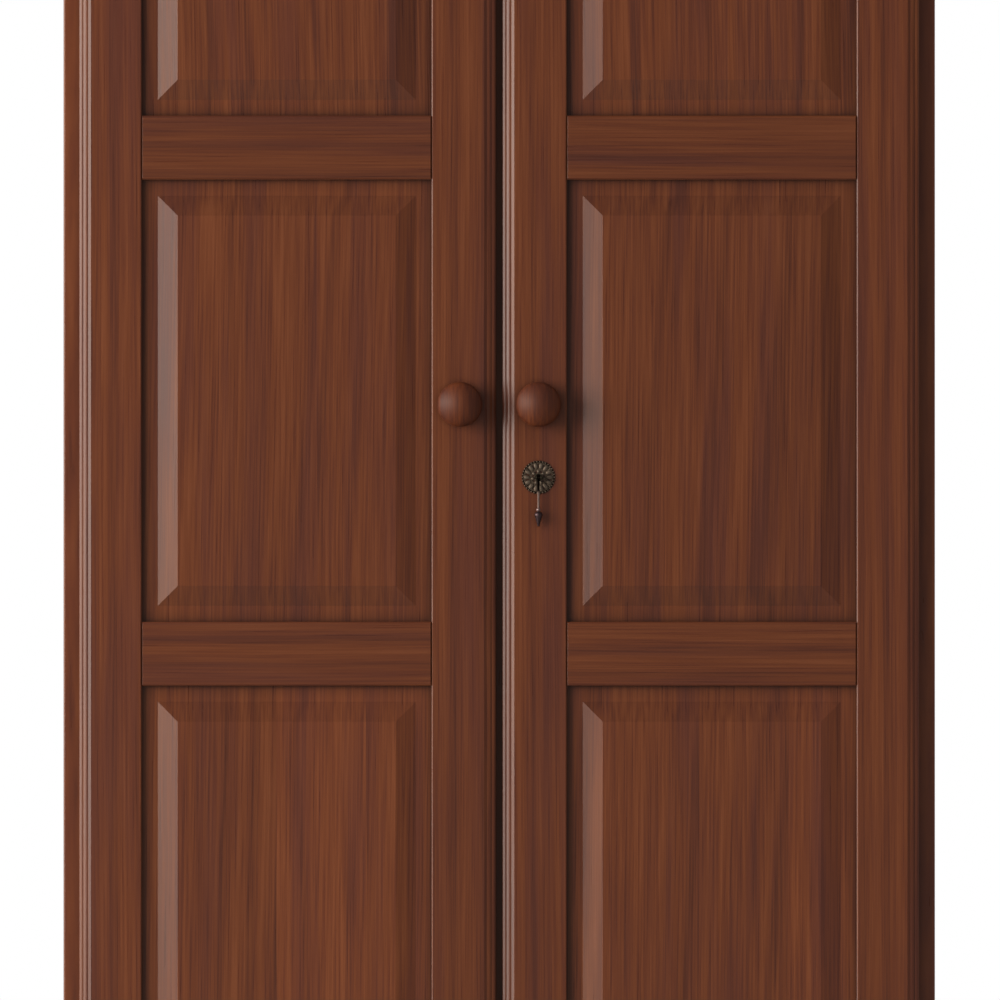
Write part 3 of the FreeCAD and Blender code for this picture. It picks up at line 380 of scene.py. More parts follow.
@dataclass(frozen=True)
class StainedWood:
    """Planed hardwood under a red-brown stain and a semi-gloss lacquer.

    Stain sinks deepest into the soft early wood, the pores and grain that is cut across. The eye sees fine
    dark and light lines along the grain, broad bands that drift from purple-brown to orange-brown, and one
    even soft gloss over all of it. A span says where a mark starts and where it is full.
    """

    name: str = "stained_hardwood"
    deep: str = "#572d1e"
    shade: str = "#673520"
    body: str = "#703b20"
    glow: str = "#7c4426"
    cool: str = "#61342b"
    ring_mm: float = 13.0
    wander_mm: float = 7.0
    wander_rate: Triple = (5.0, 5.0, 1.1)
    band_mm: Pair = (28.0, 480.0)
    # Real fibres and pores are finer. They are drawn as coarse as they need to be to show.
    streak_mm: Pair = (2.0, 150.0)
    pore_mm: Pair = (0.9, 14.0)
    depth_stretch: float = 6.0
    ring_share: float = 0.2
    streak_share: float = 0.52
    band_share: float = 0.28
    stain_places: tuple[float, ...] = (-0.14, -0.04, 0.04, 0.16)
    cool_span: Pair = (0.52, 0.3)
    cool_share: float = 0.4
    pore_span: Pair = (0.58, 0.7)
    pore_depth: float = 0.07
    vein_span: Pair = (0.4, 0.3)
    vein_depth: float = 0.06
    end_span: Pair = (0.05, 0.55)
    end_depth: float = 0.28
    # Painted shade: the next four settings darken corners and recesses with an ambient occlusion mask.
    recess_shade_mm: float = 14.0
    recess_shade_rays: int = 16
    recess_shade_span: Pair = (0.5, 1.0)
    recess_shade_depth: float = 0.0
    log_length: float = 20.0
    pith_share: Pair = (0.6, 1.0)
    side_lean: float = 0.5
    stave_lots: Pair = (3.0, 90.0)
    stave_shift: Triple = (0.32, 0.03, 4.0)
    stave_contrast: float = 0.1
    ior: float = 1.45
    roughness: float = 0.3
    gloss_spread: Pair = (-0.03, 0.05)
    bump: float = 0.06
    bump_mm: float = 0.3

    def material(self, board: Board) -> Material:
        """Makes the finish of one board.

        Args:
            board: The board, with its grain and its place in the log.

        Returns:
            A material that belongs to that board.
        """
        chance = Random(board.node)
        material, tree = new_material(f"{self.name}_{board.node}")
        low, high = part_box(board.node)
        turn = Euler([math.radians(angle) for angle in board.grain.value])
        middle = turn.to_matrix() @ (low + high) / 2
        across = turn.to_matrix() @ (high - low)
        coords = add_node(tree, "ShaderNodeTexCoord").outputs
        start = add_node(tree, "ShaderNodeMapping",
                         {"Vector": coords["Object"], "Location": -middle, "Rotation": turn})
        shares = []
        if board.stave_mm:
            start, stave_share = self._staves(tree, board, chance, start)
            shares.append(stave_share)
        shares.append(self._stain_and_recess_shade(tree, coords["Normal"], turn))
        fibre = self._log_place(tree, board, chance, start)
        layers = self._layers(tree, fibre, abs(across.x) < abs(across.y))
        colour = self._stain(tree, board, layers)
        for share in shares:
            colour = add_node(tree, "ShaderNodeVectorMath", {0: colour, "Scale": share}, operation="SCALE")
        rough = [self.roughness + change for change in self.gloss_spread]
        gloss = add_node(tree, "ShaderNodeMapRange", (layers["streak"], *NOISE_SPAN, *rough))
        surface = {"Base Color": colour, "Roughness": gloss, "IOR": self.ior}
        end_material(tree, surface, layers["streak"], self.bump, self.bump_mm)
        return material

    def _stain_and_recess_shade(self, tree: NodeTree, normal: NodeSocket, turn: Euler) -> Node:
        """Finds where the wood is darker: on grain cut across, which drinks more stain, and in recesses,
        where an ambient occlusion mask paints shade.

        Args:
            tree: The material's tree.
            normal: The way the surface faces.
            turn: The turn that brings the grain onto the pattern's long axis.

        Returns:
            The share of the colour's light that is left.
        """
        facing = add_node(tree, "ShaderNodeMapping", {"Vector": normal, "Rotation": turn},
                          vector_type="VECTOR")
        apart = add_node(tree, "ShaderNodeSeparateXYZ", (facing,)).outputs
        along = add_node(tree, "ShaderNodeMath", (apart["Z"],), operation="ABSOLUTE")
        ends = add_node(tree, "ShaderNodeMapRange", (along, *self.end_span, 1.0, 1 - self.end_depth))
        if not self.recess_shade_depth:
            return ends
        # Painted shade: corners and recesses are darkened by how little of the room they see.
        sky = add_node(tree, "ShaderNodeAmbientOcclusion", {"Distance": self.recess_shade_mm * MM},
                       samples=self.recess_shade_rays).outputs["AO"]
        hollows = add_node(tree, "ShaderNodeMapRange", (sky, *self.recess_shade_span, 1 - self.recess_shade_depth, 1.0))
        return add_node(tree, "ShaderNodeMath", (ends, hollows), operation="MULTIPLY")

    def _staves(self, tree: NodeTree, board: Board, chance: Random, start: Node) -> tuple[Node, Node]:
        """Splits a glued-up panel into staves, each from another place in the log.

        Args:
            tree: The material's tree.
            board: The panel.
            chance: Its own source of chance.
            start: Places on the panel.

        Returns:
            Places in the log, and the share of the colour's light that each stave keeps.
        """
        apart = add_node(tree, "ShaderNodeSeparateXYZ", (start,)).outputs
        stave = board.stave_mm * MM
        across = add_node(tree, "ShaderNodeMath", (apart["X"], 1 / stave, chance.uniform(0, 1)),
                          operation="MULTIPLY_ADD")
        number = add_node(tree, "ShaderNodeMath", (across,), operation="FLOOR")
        inside = add_node(tree, "ShaderNodeMath", (across, number), operation="SUBTRACT")
        own = add_node(tree, "ShaderNodeMapRange", (inside, 0.0, 1.0, -stave / 2, stave / 2))
        centred = add_node(tree, "ShaderNodeCombineXYZ", (own, apart["Y"], apart["Z"]))
        lot = add_node(tree, "ShaderNodeMath", (number, chance.uniform(*self.stave_lots)), operation="ADD")
        pick = add_node(tree, "ShaderNodeTexWhiteNoise", {"W": lot}, noise_dimensions="1D").outputs
        chosen = add_node(tree, "ShaderNodeVectorMath", (pick["Color"], (0.5, 0.5, 0.0)),
                          operation="SUBTRACT")
        place = add_node(tree, "ShaderNodeVectorMath", (chosen, self.stave_shift, centred),
                         operation="MULTIPLY_ADD")
        tones = (1 - self.stave_contrast, 1 + self.stave_contrast)
        return place, add_node(tree, "ShaderNodeMapRange", (pick["Value"], 0.0, 1.0, *tones))

    def _log_place(self, tree: NodeTree, board: Board, chance: Random, start: Node) -> Node:
        """Sets a board into the log, beside its pith and leaning a little, with fibres that wander.

        Args:
            tree: The material's tree.
            board: The board.
            chance: Its own source of chance.
            start: Places on the board.

        Returns:
            Places in the log, measured from the pith.
        """
        lean = math.radians(board.lean_deg)
        beside = chance.uniform(*self.pith_share) * board.pith_mm[0]
        place = (beside * MM, board.pith_mm[1] * MM, chance.uniform(0, self.log_length))
        tilt = (chance.choice((-1, 1)) * lean, chance.uniform(-self.side_lean, self.side_lean) * lean, 0)
        sawn = add_node(tree, "ShaderNodeMapping", {"Vector": start, "Location": place, "Rotation": tilt})
        slow = add_node(tree, "ShaderNodeVectorMath", (sawn, self.wander_rate), operation="MULTIPLY")
        drift = add_node(tree, "ShaderNodeTexNoise", {"Vector": slow, "Scale": 1.0, "Detail": 2.0}).outputs
        middle = add_node(tree, "ShaderNodeVectorMath", (drift["Color"], (0.5, 0.5, 0.5)),
                          operation="SUBTRACT")
        wander = self.wander_mm * MM
        return add_node(tree, "ShaderNodeVectorMath", (middle, (wander, wander, 0.0), sawn),
                        operation="MULTIPLY_ADD")

    def _layers(self, tree: NodeTree, fibre: Node, thin_across: bool) -> dict[str, Node]:
        """Makes the marks of the wood, each as a number from 0 to 1.

        Marks run deep through the thin way of a board, so that they carry on over its bevels and edges.

        Args:
            tree: The material's tree.
            fibre: Places in the log.
            thin_across: Whether the board is thin along the pattern's first axis, not its second.

        Returns:
            Rings, streaks, bands and pores.
        """
        section = add_node(tree, "ShaderNodeVectorMath", (fibre, (1.0, 1.0, 0.0)), operation="MULTIPLY")
        reach = add_node(tree, "ShaderNodeVectorMath", (section,), operation="LENGTH").outputs["Value"]
        years = add_node(tree, "ShaderNodeMath", (reach, 1 / (self.ring_mm * MM)), operation="MULTIPLY")
        ring = {"W": years, "Scale": 1.0, "Detail": 1.5, "Roughness": 0.5}
        layers = {"ring": add_node(tree, "ShaderNodeTexNoise", ring, noise_dimensions="1D")}
        sizes_mm = {"streak": self.streak_mm, "band": self.band_mm, "pore": self.pore_mm}
        for layer, (wide, long) in sizes_mm.items():
            fine, deep = 1 / (wide * MM), 1 / (wide * self.depth_stretch * MM)
            first, second = (deep, fine) if thin_across else (fine, deep)
            drawn = add_node(tree, "ShaderNodeVectorMath", (fibre, (first, second, 1 / (long * MM))),
                             operation="MULTIPLY")
            marks = {"Vector": drawn, "Scale": 1.0, "Detail": 2.0, "Roughness": 0.6}
            layers[layer] = add_node(tree, "ShaderNodeTexNoise", marks)
        return layers

    def _stain(self, tree: NodeTree, board: Board, layers: dict[str, Node]) -> Node:
        """Colours the wood by its marks.

        Args:
            tree: The material's tree.
            board: The board.
            layers: Its marks.

        Returns:
            The colour.
        """
        figure = add_node(tree, "ShaderNodeMath", (layers["ring"], self.ring_share), operation="MULTIPLY")
        for layer, share in (("streak", self.streak_share), ("band", self.band_share)):
            figure = add_node(tree, "ShaderNodeMath", (layers[layer], share, figure),
                              operation="MULTIPLY_ADD")
        stain = add_node(tree, "ShaderNodeValToRGB", (figure,))
        places = [0.5 + place / board.figure for place in self.stain_places]
        set_stops(stain, tuple(zip(places, (self.deep, self.shade, self.body, self.glow))), board.tone)
        cooling = add_node(tree, "ShaderNodeMapRange",
                           (layers["band"], *self.cool_span, 0.0, self.cool_share))
        cooled = add_node(tree, "ShaderNodeMix", {0: cooling, 6: stain, 7: linear(self.cool, board.tone)},
                          data_type="RGBA").outputs[2]
        pores = add_node(tree, "ShaderNodeMapRange",
                         (layers["pore"], *self.pore_span, 1.0, 1 - self.pore_depth))
        veins = add_node(tree, "ShaderNodeMapRange",
                         (layers["ring"], *self.vein_span, 1.0, 1 - self.vein_depth * board.figure),
                         interpolation_type="SMOOTHSTEP")
        both = add_node(tree, "ShaderNodeMath", (pores, veins), operation="MULTIPLY")
        return add_node(tree, "ShaderNodeVectorMath", {0: cooled, "Scale": both}, operation="SCALE")


@dataclass(frozen=True)
class FittingFinish:
    """The surface of a small metal or plastic fitting: two tones, gloss and relief in soft patches."""

    name: str
    body: str
    worn: str
    mottle_mm: float
    roughness: Pair
    metallic: float = 1.0
    bump: float = 0.1
    bump_mm: float = 0.2
    patch_span: Pair = (0.4, 0.62)

    def material(self) -> Material:
        """Makes the finish.

        Returns:
            A new material.
        """
        material, tree = new_material(self.name)
        places = add_node(tree, "ShaderNodeTexCoord").outputs["Object"]
        mottle = {"Vector": places, "Scale": 1 / (self.mottle_mm * MM), "Detail": 4.0, "Roughness": 0.65}
        patches = add_node(tree, "ShaderNodeTexNoise", mottle)
        tone = add_node(tree, "ShaderNodeValToRGB", (patches,))
        set_stops(tone, tuple(zip(self.patch_span, (self.body, self.worn))))
        smooth, rough = self.roughness
        gloss = add_node(tree, "ShaderNodeMapRange", (patches, *NOISE_SPAN, rough, smooth))
        surface = {"Base Color": tone, "Roughness": gloss, "Metallic": self.metallic}
        end_material(tree, surface, patches, self.bump, self.bump_mm)
        return material


@dataclass(frozen=True)
class CastBronze:
    """Cast bronze coloured along one axis, from one end to the other.

    On the lock plate a dark patina stays in the hollows and the raised parts are worn pale. On the key's bow
    the pale band along the rod is a painted highlight.
    """

    name: str
    stops: Stops
    axis: str
    ends: Pair
    roughness: float
    # The sand of the mould leaves a finer grit. It is drawn as coarse as it needs to be to show.
    grit_mm: float = 0.7
    unevenness: float = 0.03
    bump: float = 0.25
    bump_mm: float = 0.15

    def material(self) -> Material:
        """Makes the finish, from one end of its axis to the other.

        Returns:
            A new material.
        """
        material, tree = new_material(self.name)
        places = add_node(tree, "ShaderNodeTexCoord").outputs["Object"]
        apart = add_node(tree, "ShaderNodeSeparateXYZ", (places,)).outputs
        along = add_node(tree, "ShaderNodeMapRange", (apart[self.axis], *self.ends))
        grit = add_node(tree, "ShaderNodeTexNoise",
                        {"Vector": places, "Scale": 1 / (self.grit_mm * MM), "Detail": 3.0})
        uneven = add_node(tree, "ShaderNodeMapRange",
                          (grit, *NOISE_SPAN, -self.unevenness, self.unevenness))
        # Colour along the axis: worn metal on the lock plate, a painted highlight on the key's bow.
        worn_and_lit = add_node(tree, "ShaderNodeMath", (along, uneven), operation="ADD")
        patina = add_node(tree, "ShaderNodeValToRGB", (worn_and_lit,))
        set_stops(patina, self.stops)
        surface = {"Base Color": patina, "Roughness": self.roughness, "Metallic": 1.0}
        end_material(tree, surface, grit, self.bump, self.bump_mm)
        return material


@dataclass
class Studio:
    """A plain pale room: a tall soft light at the left, a little light from all round, a long lens."""

    distance: float = 16.0
    view_side: float = 0.0008
    view_height: float = 0.8316
    view_reach: float = 200.0
    field_width: float = 1.0312
    sensor_mm: float = 36.0
    key_turn_deg: float = 61.5
    key_distance: float = 7.0
    key_height: float = 2.0
    key_size: Pair = (7.7, 4.0)
    key_power: float = 680.0
    key_colour: str = "#fff7ed"
    ambient: float = 0.36
    front_gloom: float = 0.15
    gloom_span: Pair = (-0.2, 0.6)
    floor_size: float = 60.0
    floor_colour: str = "#bdbbb7"
    near_white: float = 0.5
    fade_span: Pair = (0.8, 3.2)

    def build(self) -> None:
        """Sets up the camera, the lamp, the floor and the light from all round."""
        scene = bpy.context.scene
        scene.view_settings.view_transform = "Standard"
        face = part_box("left_meeting_stile")[0].y
        self._camera(scene, face)
        self._softbox(face)
        self._floor()
        self._surround(scene)
        log.info("studio ready")

    def _camera(self, scene: Scene, face: float) -> None:
        """Stands the camera straight in front of the doors.

        Args:
            scene: The scene that uses it.
            face: Where the doors' front is.
        """
        data = bpy.data.cameras.new("front_camera")
        data.sensor_width = self.sensor_mm
        data.lens = self.sensor_mm * self.distance / self.field_width
        data.clip_end = self.view_reach
        camera = put_in_scene("front_camera", data)
        camera.location = (self.view_side, face - self.distance, self.view_height)
        camera.rotation_euler = (math.pi / 2, 0.0, 0.0)
        scene.camera = camera

    def _softbox(self, face: float) -> None:
        """Hangs the tall soft light at the left, turned to the doors.

        Args:
            face: Where the doors' front is.
        """
        data = bpy.data.lights.new("left_softbox", "AREA")
        data.shape = "RECTANGLE"
        data.size, data.size_y = self.key_size
        data.energy = self.key_power
        data.color = linear(self.key_colour)[:3]
        lamp = put_in_scene("left_softbox", data)
        turn = math.radians(self.key_turn_deg)
        aside, ahead = self.key_distance * math.sin(turn), self.key_distance * math.cos(turn)
        lamp.location = (-aside, face - ahead, self.key_height)
        aim = Vector((0.0, face, self.view_height)) - lamp.location
        lamp.rotation_euler = aim.to_track_quat("-Z", "Y").to_euler()
        lamp.visible_camera = False

    def _rays(self, tree: NodeTree) -> tuple[Node, NodeSocket]:
        """Tells what is seen straight from what is seen mirrored.

        Args:
            tree: The tree that asks.

        Returns:
            Whether a ray comes straight from the eye, and whether it comes off something glossy.
        """
        path = add_node(tree, "ShaderNodeLightPath").outputs
        straight = add_node(tree, "ShaderNodeMath", (path["Is Camera Ray"], path["Is Transmission Ray"]),
                            operation="MAXIMUM")
        return straight, path["Is Glossy Ray"]

    def _floor(self) -> None:
        """Lays a pale floor that takes the shadow and fades to white far off."""
        half = self.floor_size / 2
        mesh = bpy.data.meshes.new("floor")
        corners = [(-half, -half, 0), (half, -half, 0), (half, half, 0), (-half, half, 0)]
        mesh.from_pydata(corners, [], [(0, 1, 2, 3)])
        floor = put_in_scene("floor", mesh)
        material, tree = new_material("pale_painted_floor")
        places = add_node(tree, "ShaderNodeTexCoord").outputs["Object"]
        away = add_node(tree, "ShaderNodeVectorMath", (places,), operation="LENGTH").outputs["Value"]
        fade = add_node(tree, "ShaderNodeMapRange", (away, *self.fade_span, self.near_white, 1.0),
                        interpolation_type="SMOOTHSTEP")
        apart = add_node(tree, "ShaderNodeSeparateXYZ", (places,)).outputs
        behind = add_node(tree, "ShaderNodeMapRange", (apart["Y"], 0.0, self.fade_span[1]))
        straight, glossy = self._rays(tree)
        mirrored = add_node(tree, "ShaderNodeMath", (glossy, behind), operation="MULTIPLY")
        seen = add_node(tree, "ShaderNodeMath", (straight, mirrored), operation="MAXIMUM")
        share = add_node(tree, "ShaderNodeMath", (seen, fade), operation="MULTIPLY")
        paint = add_node(tree, "ShaderNodeBsdfDiffuse", {"Color": linear(self.floor_colour)})
        white = add_node(tree, "ShaderNodeEmission", {"Color": linear(WHITE), "Strength": 1.0})
        mixed = add_node(tree, "ShaderNodeMixShader", (share, paint, white))
        add_node(tree, "ShaderNodeOutputMaterial", {"Surface": mixed})
        mesh.materials.append(material)

    def _surround(self, scene: Scene) -> None:
        """Makes the room: white to the eye, dim in front of the doors, a low even light elsewhere.

        Args:
            scene: The scene that stands in it.
        """
        world = bpy.data.worlds.new("pale_room")
        world.use_nodes = True
        tree = world.node_tree
        tree.nodes.clear()
        scene.world = world
        ways = add_node(tree, "ShaderNodeTexCoord").outputs["Generated"]
        apart = add_node(tree, "ShaderNodeSeparateXYZ", (ways,)).outputs
        behind = add_node(tree, "ShaderNodeMapRange",
                          (apart["Y"], *self.gloom_span, self.front_gloom, 1.0),
                          interpolation_type="SMOOTHSTEP")
        even, mirrored, white = [
            add_node(tree, "ShaderNodeBackground", {"Color": linear(WHITE), "Strength": strength})
            for strength in (self.ambient, behind, 1.0)
        ]
        straight, glossy = self._rays(tree)
        lit = add_node(tree, "ShaderNodeMixShader", (glossy, even, mirrored))
        seen = add_node(tree, "ShaderNodeMixShader", (straight, lit, white))
        add_node(tree, "ShaderNodeOutputWorld", {"Surface": seen})


@dataclass
class Screws:
    """Slotted screws of one kind, set where a carried-over piece has them."""

    crown_radius_mm: float
    under_radius_mm: float
    head_height_mm: float
    shank_radius_mm: float
    slot_width_mm: float = 0.9
    slot_depth_mm: float = 0.9
    slot_reach: float = 3.0
    end_reach_mm: float = 0.1
    sides: int = 32

    def build(self, node: str, name: str, body: str, steel: Material) -> None:
        """Makes the screws that stand for one carried-over piece.

        Args:
            node: The carried-over piece.
            name: What the screws are called.
            body: The body that they are driven into.
            steel: Their finish.
        """
        places = self._places(node)
        points = bpy.data.meshes.new(name)
        points.from_pydata([head for head, _, _ in places], [], [])
        chance = Random(node)
        facing = points.attributes.new("facing", "FLOAT_VECTOR", "POINT")
        facing.data.foreach_set("vector", [part for _, way, _ in places for part in way])
        turn = points.attributes.new("turn", "FLOAT", "POINT")
        turn.data.foreach_set("value", [chance.uniform(0, math.pi) for _ in places])
        sizes = in_metres({
            "Crown radius": self.crown_radius_mm, "Under radius": self.under_radius_mm,
            "Head height": self.head_height_mm, "Shank radius": self.shank_radius_mm,
            "Slot width": self.slot_width_mm, "Slot depth": self.slot_depth_mm,
        })
        sizes["Length"] = places[0][2]
        tree = self._tree(sizes, steel)
        new_piece(name, grown_mesh(points, tree, sizes), body, node)

    def _places(self, node: str) -> list[tuple[Vector, Vector, float]]:
        """Finds the screws of a carried-over piece.

        Args:
            node: The carried-over piece.

        Returns:
            For each screw the middle of its head, the way it points and its length.
        """
        shell = bmesh.new()
        shell.from_mesh(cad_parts[node].data)
        bmesh.ops.remove_doubles(shell, verts=shell.verts, dist=TINY)
        waiting = set(shell.verts)
        places = []
        while waiting:
            reached = [waiting.pop()]
            for vert in reached:
                near = [edge.other_vert(vert) for edge in vert.link_edges]
                fresh = [other for other in near if other in waiting]
                waiting.difference_update(fresh)
                reached.extend(fresh)
            places.append(self._place([vert.co.copy() for vert in reached]))
        shell.free()
        return sorted(places, key=lambda place: tuple(place[0]))

    def _place(self, points: list[Vector]) -> tuple[Vector, Vector, float]:
        """Finds how one screw stands: its head is at the wider end of its long axis.

        Args:
            points: The corners of its solid.

        Returns:
            The middle of its head, the way it points and its length.
        """
        low = Vector([min(point[axis] for point in points) for axis in range(3)])
        high = Vector([max(point[axis] for point in points) for axis in range(3)])
        middle = (low + high) / 2
        axis = max(range(3), key=lambda place: high[place] - low[place])
        way = Vector((0, 0, 0))
        way[axis] = 1.0
        half = (high[axis] - low[axis]) / 2

        def width(end: Vector) -> float:
            """Half the width of the screw at one end."""
            at_end = [point for point in points if abs(point[axis] - end[axis]) < self.end_reach_mm * MM]
            return max((point - end).length for point in at_end)

        first, second = middle - way * half, middle + way * half
        if width(first) > width(second):
            return first, way, 2 * half
        return second, -way, 2 * half

    def _tree(self, sizes: Sizes, steel: Material) -> NodeTree:
        """Makes the tree that sets one screw at each point.

        Args:
            sizes: The named sizes.
            steel: The finish.

        Returns:
            The tree.
        """
        tree = new_geometry_tree("slotted_screws", sizes)
        size = add_node(tree, "NodeGroupInput").outputs
        crown, under, shank = size["Crown radius"], size["Under radius"], size["Shank radius"]
        height = size["Head height"]
        head = add_node(tree, "GeometryNodeMeshCone", {
            "Radius Bottom": crown, "Radius Top": under, "Depth": height, "Vertices": self.sides,
        })
        across = add_node(tree, "ShaderNodeMath", (under, crown), operation="MAXIMUM")
        reach = add_node(tree, "ShaderNodeMath", (across, self.slot_reach), operation="MULTIPLY")
        double = add_node(tree, "ShaderNodeMath", (size["Slot depth"], 2.0), operation="MULTIPLY")
        slot_size = add_node(tree, "ShaderNodeCombineXYZ", (reach, size["Slot width"], double))
        slot = add_node(tree, "GeometryNodeMeshCube", {"Size": slot_size})
        slotted = add_node(tree, "GeometryNodeMeshBoolean", {"Mesh 1": head, "Mesh 2": slot},
                           operation="DIFFERENCE")
        below = add_node(tree, "ShaderNodeMath", (size["Length"], height), operation="SUBTRACT")
        rod = add_node(tree, "GeometryNodeMeshCone", {
            "Radius Bottom": shank, "Radius Top": shank, "Depth": below, "Vertices": self.sides,
        })
        neck = add_node(tree, "ShaderNodeCombineXYZ", {"Z": height})
        driven = add_node(tree, "GeometryNodeTransform", {"Geometry": rod, "Translation": neck})
        screw = add_node(tree, "GeometryNodeJoinGeometry", {"Geometry": [slotted, driven]})
        facing = add_node(tree, "GeometryNodeInputNamedAttribute", {"Name": "facing"},
                          data_type="FLOAT_VECTOR").outputs["Attribute"]
        turn = add_node(tree, "GeometryNodeInputNamedAttribute", {"Name": "turn"},
                        data_type="FLOAT").outputs["Attribute"]
        aimed = add_node(tree, "FunctionNodeAlignRotationToVector", {"Vector": facing}, axis="Z")
        spin = add_node(tree, "FunctionNodeAxisAngleToRotation", {"Angle": turn, "Axis": (0.0, 0.0, 1.0)})
        turned = add_node(tree, "FunctionNodeRotateRotation", {"Rotation": aimed, "Rotate By": spin},
                          rotation_space="LOCAL")
        placed = add_node(tree, "GeometryNodeInstanceOnPoints",
                          {"Points": size["Geometry"], "Instance": screw, "Rotation": turned})
        end_tree(tree, [placed], steel)
        return tree


@dataclass
class Carcass:
    """The case round the doors: sides, boards, plinth, cornice and back."""

    wood: StainedWood
    plywood: StainedWood
    beech: StainedWood
    left_tone: float = 1.08
    # Painted light: the right side is drawn lighter than the other boards, standing for light that reaches
    # it in the doors' shadow.
    right_painted_light_tone: float = 1.22

    def dress(self) -> None:
        """Finishes every board of the case."""
        boards = [Board("left_side", Grain.UPRIGHT, self.left_tone),
                  Board("right_side", Grain.UPRIGHT, self.right_painted_light_tone),
                  Board("centre_partition", Grain.UPRIGHT)]
        for name in ("base_board", "top_board", "cap_board", "plinth_front", "plinth_back", "cornice_front"):
            boards.append(Board(name, Grain.LEVEL))
        for name in ("plinth_left", "plinth_right", "cornice_left", "cornice_right"):
            boards.append(Board(name, Grain.DEEP))
        for board in boards:
            dress(board.node, self.wood.material(board))
        back = Board("back_panel", Grain.UPRIGHT, pith_mm=(40.0, 45.0), lean_deg=1.0)
        dress("back_panel", self.plywood.material(back))
        dress("carcass_dowels", self.beech.material(Board("carcass_dowels", Grain.UPRIGHT)))


@dataclass
class Interior:
    """What stands behind the doors: shelves on pins and a hanging rail."""

    wood: StainedWood
    steel: Material
    chrome: Material
    plastic: Material

    def dress(self) -> None:
        """Finishes the shelves, the rail, the pins and the catches."""
        for name in ("left_shelf_lower", "left_shelf_middle", "left_shelf_upper", "hat_shelf"):
            dress(name, self.wood.material(Board(name, Grain.LEVEL)))
        for name in ("hanging_rail", "rail_flanges"):
            dress(name, self.chrome)
        dress("shelf_pins", self.steel)
        dress("door_catches", self.plastic)


@dataclass
class Knob:
    """A domed knob turned from one block."""

    radius_mm: float = 23.2
    projection_mm: float = 36.0
    seat_radius_mm: float = 12.0
    seat_height_mm: float = 2.0
    seat_round_mm: float = 0.5
    neck_radius_mm: float = 9.0
    neck_height_mm: float = 7.0
    equator_mm: float = 20.0
    shoulder_mm: float = 10.0
    swell_steps: int = 14
    shoulder_steps: int = 12
    dome_steps: int = 14
    sides: int = 96

    def outline(self) -> Outline:
        """Works out the outline: a seat, a hollow neck, a swelling underside, a shoulder and a low dome.

        Returns:
            Distance from the axis and height off the door, in millimetres, from back to front.
        """
        swell_width = self.radius_mm - self.neck_radius_mm
        swell_height = self.equator_mm - self.neck_height_mm
        swell = (swell_width ** 2 + swell_height ** 2) / (2 * swell_width)
        inset = self.radius_mm - self.shoulder_mm
        rise = self.projection_mm - self.equator_mm
        dome = (inset ** 2 + rise ** 2 - self.shoulder_mm ** 2) / (2 * (rise - self.shoulder_mm))
        dome_centre = self.projection_mm - dome
        share = dome / (dome - self.shoulder_mm)
        dome_edge = (inset * share, dome_centre + (self.equator_mm - dome_centre) * share)
        neck = (self.neck_radius_mm, self.neck_height_mm)
        widest = (self.radius_mm, self.equator_mm)
        front = (0.0, self.projection_mm)
        seat, ease = self.seat_radius_mm, self.seat_round_mm
        points = [(0.0, 0.0), (seat - ease, 0.0), (seat, ease), (seat, self.seat_height_mm - ease),
                  (seat - ease, self.seat_height_mm), neck]
        points += arc((self.radius_mm - swell, self.equator_mm), neck, widest, self.swell_steps)
        points += arc((inset, self.equator_mm), widest, dome_edge, self.shoulder_steps)
        points += arc((0.0, dome_centre), dome_edge, front, self.dome_steps)
        points[-1] = front
        return points

    def build(self, side: str, wood: StainedWood) -> None:
        """Turns the knob and seats it on its door.

        Args:
            side: Which door it belongs to.
            wood: Its finish.
        """
        low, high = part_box(f"{side}_knob")
        shell = turned_shell(self.outline(), self.sides)
        seat = Matrix.Translation(((low.x + high.x) / 2, high.y, (low.z + high.z) / 2))
        shell.transform(seat @ Matrix.Rotation(math.pi / 2, 4, "X"))
        material = wood.material(Board(f"{side}_knob", Grain.UPRIGHT))
        mesh = finished_mesh(f"{side}_turned_knob", [shell], material)
        new_piece(mesh.name, mesh, f"{side}_door", f"{side}_knob")


@dataclass
class Door:
    """One framed door with three raised panels."""

    side: str
    wood: StainedWood
    knob_wood: StainedWood
    brass: Material
    steel: Material
    stave_mm: float = 92.0
    panel_pith_mm: Pair = (0.0, 60.0)
    panel_lean_deg: float = 2.2
    panel_figure: float = 1.15
    meeting_tone: float = 0.94
    # Painted light: the tones of the rails and panels, listed from the bottom up, mostly grow darker
    # upwards, standing for light that is stronger low on the doors.
    rail_painted_light_tones: tuple[float, ...] = (0.95, 0.91, 0.86, 0.9)
    panel_painted_light_tones: Triple = (1.08, 1.0, 0.91)
    knob: Knob = field(default_factory=Knob)

    def dress(self) -> None:
        """Finishes the frame, the panels and the fittings of the door."""
        boards = [Board(f"{self.side}_hinge_stile", Grain.UPRIGHT),
                  Board(f"{self.side}_meeting_stile", Grain.UPRIGHT, self.meeting_tone)]
        for name, tone in zip(("bottom_rail", "lower_rail", "upper_rail", "top_rail"), self.rail_painted_light_tones):
            boards.append(Board(f"{self.side}_{name}", Grain.LEVEL, tone))
        for name, tone in zip(("bottom_panel", "middle_panel", "top_panel"), self.panel_painted_light_tones):
            boards.append(Board(f"{self.side}_{name}", Grain.UPRIGHT, tone, self.stave_mm,
                                self.panel_pith_mm, self.panel_lean_deg, self.panel_figure))
        for board in boards:
            dress(board.node, self.wood.material(board))
        dress(f"{self.side}_pivot_plates", self.brass)
        dress(f"{self.side}_catch_plate", self.steel)

    def build(self) -> None:
        """Turns the knob of the door."""
        self.knob.build(self.side, self.knob_wood)


